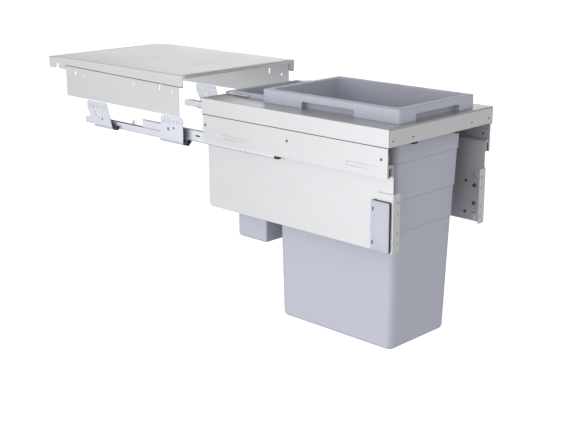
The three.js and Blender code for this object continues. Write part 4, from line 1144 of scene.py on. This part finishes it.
for word, side in SIDES.items():
    for node, up in ((f"cabinet_rail_{word}", True), (f"drawer_rail_{word}", False)):
        low, high = corners(node)
        inner, outer = sorted((abs(low[0]), abs(high[0])))
        ends = (low[2], high[2]) if up else (high[2], low[2])
        section = channel(inner, outer, *ends, RAIL_WALL) * (side, 1)
        parts = Parts().add(*carry(section, (low[1], high[1])))
        parts.piece(f"{node}_rolled", ZINC, "zinc_steel", bodies_of_nodes[node], node, smooth=32)
    node = f"middle_rail_{word}"
    low, high = corners(node)
    inner, outer = sorted((abs(low[0]), abs(high[0])))
    base, top = low[2], high[2]
    line = [(outer, base + 2), (outer, base), (inner, base), (inner, top), (outer, top), (outer, top - 2)]
    bends = rounded(line, [0, 1.6, 1.6, 1.6, 1.6, 0], 5, closed=False)
    section = sheet_section(bends, -MIDDLE_WALL) * (side, 1)
    parts = Parts().add(*carry(section, (low[1], high[1])))
    blank = rectangle((low[1], high[1]), (base + 1.7, top - 1.7))
    holes = [slotted(low[1] + 244, FRAME_TOP - 92, 15, 3.5, 0.0)]
    holes.append(circle(low[1] + 88, FRAME_TOP - 103, 2.6))
    parts.add(*stamp([blank, *holes], *sorted((side * (outer - MIDDLE_WALL), side * outer)), "x", 0.05))
    parts.piece(f"{node}_rolled", ZINC, "zinc_steel", bodies_of_nodes[node], node, smooth=32)

# %% [markdown]
# ### Painted shade in the rail ends
# A black block stands inside the front end of each drawer rail as painted shade for the dark hollow of the
# channel. A bent steel strip holds it. Seen from the front, the strip is an arch and the block fills it,
# so both come from one arch outline at two sizes.

# %% Painted shade blocks in the rail ends, and their clips
SHADE_BLOCK_DEPTH = 4.5
SHADE_BLOCK_HALF = 3.4
CLIP_STRIP = 0.9


def arch(middle, foot, top, half_width):
    """Up one side, round the top on a half circle and down the other side."""
    left, right = middle - half_width, middle + half_width
    line = [(left, foot), (left, top), (right, top), (right, foot)]
    return rounded(line, [0, half_width * 0.98, half_width * 0.98, 0], 8, closed=False)


# A black block in the end of each drawer rail is painted shade for the dark hollow of the channel.
for word, side in SIDES.items():
    low, high = corners(f"drawer_rail_{word}")
    inner, outer = sorted((abs(low[0]), abs(high[0])))
    middle = side * (outer - 2.2 - SHADE_BLOCK_HALF)
    foot, top = low[2] + 1, high[2] - 3.4
    block = arch(middle, foot, top - 1.1, SHADE_BLOCK_HALF - 1.1)
    shade_block = Parts().add(*stamp([block], low[1] + 2.5, low[1] + 2.5 + SHADE_BLOCK_DEPTH, "y", 0.5))
    shade_block.piece(f"rail_buffer_{word}", BLACK, "black_plastic", "pullout", smooth=40)
    strip = sheet_section(arch(middle, foot, top, SHADE_BLOCK_HALF), CLIP_STRIP)
    clip = Parts().add(*carry(strip, (low[1] + 1.2, low[1] + 1.2 + SHADE_BLOCK_DEPTH)))
    clip.piece(f"buffer_clip_{word}", ZINC, "zinc_steel", "pullout", smooth=40)
print("painted_shade_blocks", SHADE_BLOCK_DEPTH, "mm deep in a rail", round(outer - inner, 1), "mm wide")

# %% [markdown]
# ## Door brackets and their covers
# The cabinet door screws to two angle brackets at the front of the panels. Each has a row of four holes,
# the outer two of them wider. A moulded cover hides the adjusters from the side. It is two stamped
# plates, a light face on a black base whose edge is painted shade round the face, with an oblong hole for
# each screw.


# %% Door brackets
BRACKET_SHEET = 1.5
DOOR_HOLES = ((19, 5.4), (41.5, 4.5), (82, 4.5), (104, 5.4))


def door_bracket(word, side):
    """An angle: a stamped flange that faces the door, a bend carried up its corner, and a stamped leg
    beside the panel, with an oblong hole for the cam's pin."""
    node = f"door_bracket_{word}"
    low, high = corners(node)
    outer, inner = max(abs(low[0]), abs(high[0])), min(abs(low[0]), abs(high[0]))
    face, top, thick = low[1], high[2], BRACKET_SHEET
    line = rounded([(outer - 3, face), (outer, face), (outer, face + 3)], 1.8, 6, closed=False)
    section = sheet_section(line, thick) * (side, 1)
    parts = Parts().add(*carry(section, (low[2], top), "z"))
    hole_x = outer - 14.8
    holes = [circle(side * hole_x, top - drop, size) for drop, size in DOOR_HOLES]
    flange = rectangle((side * inner, side * (outer - 2.6)), (low[2], top), 0.6)
    parts.add(*stamp([flange, *holes], face, face + thick, "y", 0.2))
    leg = rectangle((face + 2.6, high[1]), (low[2] + 3, top - 1), 1)
    leg_hole = slotted(ADJUST_Y + 2.4, CAM_Z, 6.8, 5.6, 0.0)
    parts.add(*stamp([leg, leg_hole], *sorted((side * (outer - thick), side * outer)), "x", 0.15))
    return parts.piece(f"{node}_pressed", STEEL, "sheet_steel", bodies_of_nodes[node], node, smooth=32)


# The adjuster cover's black base is painted shade for the dark top and front edges of the cover.
def adjuster_cover(word, side):
    """A light face on a black base. The base's edge shows as painted shade round the face."""
    node = f"adjuster_cover_{word}"
    low, high = corners(node)
    outer = max(abs(low[0]), abs(high[0]))
    holes = [slotted(COVER_SCREW_Y, height, 7.5, 3.4) for height in COVER_SCREW_HEIGHTS]
    for part, finish, slot, near, far, inset in (
        ("face", COVER_PLASTIC, "bin_plastic", outer - 1.6, outer, 0.5),
        ("base", BLACK, "black_plastic", outer - 5.5, outer - 1.6, 0.0),
    ):
        tall = (low[2] + inset, high[2] - inset)
        outline = rectangle((low[1] + inset, high[1] - inset), tall, 3.2, 8)
        parts = Parts().add(*stamp([outline, *holes], *sorted((side * near, side * far)), "x", 0.5))
        piece = parts.piece(f"{node}_{part}", finish, slot, "pullout", node, smooth=60)
    return piece


for word, side in SIDES.items():
    print(door_bracket(word, side).name, adjuster_cover(word, side).name)

# %% [markdown]
# ## Screws, rivets and cams
# Small round parts are turned: a profile of radius and distance is spun about its axis. A hexagon
# socket or a screwdriver slot is a row of that profile whose radius changes with the angle.


# %% Turned parts
def rows_outward(node):
    """The distances of a node's inner and outer ends from the unit's middle."""
    low, high = corners(node)
    ends = sorted((abs(low[0]), abs(high[0])))
    return ends[0], ends[1], (low[1] + high[1]) / 2, (low[2] + high[2]) / 2, (high[2] - low[2]) / 2


def rivet(node, side):
    """A flat head inside, a shank through both sheets and a dome outside, r cos a by 0.9 sin a."""
    inner, outer, y, z, radius = rows_outward(node)
    a = np.linspace(0, np.pi / 2, 6)
    dome = np.stack([radius * np.cos(a), outer - 0.9 + 0.9 * np.sin(a)], axis=1)
    profile = [(0, inner), (radius * 0.8, inner), (radius * 0.8, inner + 0.9), (radius * 0.56, inner + 0.9)]
    profile += [(radius * 0.56, outer - 0.9), *dome]
    points = turned(profile, y, z, side)
    Parts().add(*points).piece(f"{node}_turned", SCREW_STEEL, "dark_steel", "pullout", node)


def socket_screw(node, side):
    """A round head that faces the bins, with a hexagon socket 2 mm deep."""
    inner, outer, y, z, radius = rows_outward(node)
    profile = [
        (0, inner + 2), (1.7, inner + 2), (1.8, inner), (radius - 1.2, inner), (radius - 0.3, inner + 0.5),
        (radius, inner + 1.6), (radius, inner + 3), (2.5, inner + 3), (2.5, outer), (0, outer),
    ]
    shapes = {1: hexagon, 2: hexagon}
    points = turned(profile, y, z, side, 36, shapes)
    Parts().add(*points).piece(f"{node}_turned", SCREW_STEEL, "dark_steel", bodies_of_nodes[node], node)


def countersunk_screw(node, side):
    """A screw under the cover, with a flat head that has a driver slot."""
    inner, outer, y, z, radius = rows_outward(node)
    profile = [
        (0, inner + 0.8), (2.6, inner + 0.8), (2.6, inner), (radius * 0.8, inner), (radius, inner + 0.7),
        (radius, inner + 1.9), (1.75, inner + 2), (1.75, outer), (0, outer),
    ]
    shapes = {1: driver_slot, 2: driver_slot}
    points = turned(profile, y, z, side, 48, shapes)
    Parts().add(*points).piece(f"{node}_turned", SCREW_STEEL, "dark_steel", "pullout", node)


CAM_THROW = 2.83


def height_cam(node, side):
    """A disc that turns in the panel, its shaft, and an off-centre pin that lifts the door bracket."""
    low, high = corners(node)
    inner, outer = sorted((abs(low[0]), abs(high[0])))
    radius, y, z = (high[2] - low[2]) / 2, ADJUST_Y, CAM_Z
    disc = [
        (0, inner + 1.2), (5.2, inner + 1.2), (5.2, inner), (radius - 1, inner), (radius, inner + 1),
        (radius, inner + 2.4), (6, inner + 2.4), (6, outer - 1.8), (0, outer - 1.8),
    ]
    pin = [(0, inner + 2.4), (2.5, inner + 2.4), (2.5, outer), (0, outer)]
    parts = Parts().add(*turned(disc, y, z, side, 48, {1: driver_slot, 2: driver_slot}))
    parts.add(*turned(pin, y + CAM_THROW, z, side, 20))
    parts.piece(f"{node}_turned", ZINC, "zinc_steel", bodies_of_nodes[node], node)


for word, side in SIDES.items():
    for where in ("front", "middle", "rear"):
        rivet(f"skin_rivet_{where}_{word}", side)
    for where in ("upper", "lower"):
        socket_screw(f"clamp_screw_{where}_{word}", side)
        countersunk_screw(f"cover_screw_{where}_{word}", side)
    height_cam(f"height_cam_{word}", side)

# %% [markdown]
# ## Small mouldings
# The clips, caps, catches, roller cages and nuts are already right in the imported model, but their edges
# are perfectly sharp, and no real edge is. Their meshes are loose triangles, so a copy's points are
# merged and its flat faces joined before a narrow bevel rounds the edges.

# %% Softened copies
def softened(node, finish, width=0.4):
    """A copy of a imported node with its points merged, its flat faces joined and its edges rounded."""
    mesh = frame["nodes"][node].data.copy()
    mesh.materials.clear()
    mesh.materials.append(finish)
    tidy(mesh, flat=math.radians(2))
    piece = bpy.data.objects.new(f"{node}_edged", mesh)
    return settle(piece, bodies_of_nodes[node], [node], 30, width)


SMALL_PARTS = {
    "rail_clip_front": (BLACK, "black_plastic"),
    "rail_clip_rear": (BLACK, "black_plastic"),
    "middle_rail_cap": (BLACK, "black_plastic"),
    "bin_catch": (BLACK, "black_plastic"),
    "rail_catch": (WHITE, "white_plastic"),
    "lower_roller_cage": (WHITE, "white_plastic"),
    "upper_roller_cage": (WHITE, "white_plastic"),
    "lock_nut": (ZINC, "zinc_steel"),
}
for word in SIDES:
    for node, (finish, slot) in SMALL_PARTS.items():
        softened(f"{node}_{word}", finish)
shown = [name for name, node in frame["nodes"].items() if not node.hide_render]
print("packed nodes still shown", shown)

# %% [markdown]
# ## Floor and light
# The unit hangs from the sides of its cabinet, so nothing touches the floor. A wide pale floor lies well
# below it, where its shadow is too soft to see, and a round white backdrop closes the view behind it.
# Only the camera sees these two, so they throw no light back. One large soft panel stands on the left.
# The rest is the room's own glow, which depends on direction: strong on the left, low behind on the
# right, and weaker in front, so that each side of a bin has its own shade.

# %% Floor and backdrop
FLOOR_DROP = 1.3
FLOOR_HALF = 30
FLOOR_GLOW = 0.65
BACKDROP_RADIUS = 29
BACKDROP_HEIGHT = 26


def stage_piece(name, points, faces, strength):
    """A pale surface with a glow of its own that only the camera sees."""
    mesh = bpy.data.meshes.new(name)
    mesh.from_pydata(points.tolist(), [], faces.tolist())
    pale = Finish(f"pale_{name}", Roughness=0.9, Specular_IOR_Level=0.1, Emission_Strength=strength)
    pale.shader.inputs["Emission Color"].default_value = (1, 1, 1, 1)
    pale.feed("Base Color", pale.blend(pale.noise(0.6, 2), (0.93, 0.93, 0.93), (0.95, 0.95, 0.95)))
    mesh.materials.append(pale.material)
    piece = bpy.data.objects.new(name, mesh)
    bpy.context.scene.collection.objects.link(piece)
    piece.visible_diffuse = False
    piece.visible_glossy = False
    return piece


square = np.array([(-1, -1), (1, -1), (1, 1), (-1, 1)]) * FLOOR_HALF
floor_points = np.column_stack([square, np.full(4, -FLOOR_DROP)])
stage_piece("floor", floor_points, np.array([(0, 1, 2, 3)]), FLOOR_GLOW)

around = np.linspace(0, 2 * np.pi, 64, endpoint=False)
circle_points = np.column_stack([np.cos(around), np.sin(around)]) * BACKDROP_RADIUS
wall_points = np.concatenate([
    np.column_stack([circle_points, np.full(64, height)]) for height in (-FLOOR_DROP - 0.1, BACKDROP_HEIGHT)
])
here = np.arange(64)
ahead = np.roll(here, -1)
wall_faces = np.stack([here, here + 64, ahead + 64, ahead], axis=1)
backdrop = stage_piece("backdrop", wall_points, wall_faces, 1.0)
backdrop.visible_shadow = False
print("the floor is", 2 * FLOOR_HALF, "m wide, with a round backdrop", BACKDROP_RADIUS, "m away")


# %% Light
LEFT_POWER = 18


def soft_panel(name, place, target, size, power):
    """A rectangular light at a place, turned towards a target."""
    light = bpy.data.lights.new(name, "AREA")
    light.shape = "RECTANGLE"
    light.size, light.size_y = size
    light.energy = power
    lamp = bpy.data.objects.new(name, light)
    bpy.context.scene.collection.objects.link(lamp)
    towards = Vector(target) - Vector(place)
    lamp.matrix_world = Matrix.Translation(place) @ towards.to_track_quat("-Z", "Y").to_matrix().to_4x4()
    return lamp


def glow(room, direction, narrow, strength):
    """Light from one side: the strength times cos^narrow of the angle from that direction."""
    towards = Vector(direction).normalized()
    sockets = {0: room.place, 1: towards}
    facing = room.node("ShaderNodeVectorMath", sockets, output=1, operation="DOT_PRODUCT")
    lit = facing.math("MAXIMUM", facing, 0)
    return lit.math("POWER", lit, narrow) * strength


soft_panel("left_panel", (-2.7, 0.8, -0.2), (0, 0.3, -0.15), (3.0, 2.6), LEFT_POWER)

world = bpy.data.worlds.new("studio")
bpy.context.scene.world = world
room = Graph(world, "Background", "Generated")
room.shader.inputs["Color"].default_value = (1, 1, 1, 1)
left_glow = glow(room, (-1, 0.2, 0.0), 1.7, 1.5)
rear_glow = glow(room, (0.69, 0.69, 0.12), 10, 1.6)
front_glow = glow(room, (0.3, -1, 0.0), 1.6, 0.85)
room.feed("Strength", left_glow + rear_glow + front_glow + 0.15)

bpy.context.scene.view_settings.view_transform = "Standard"
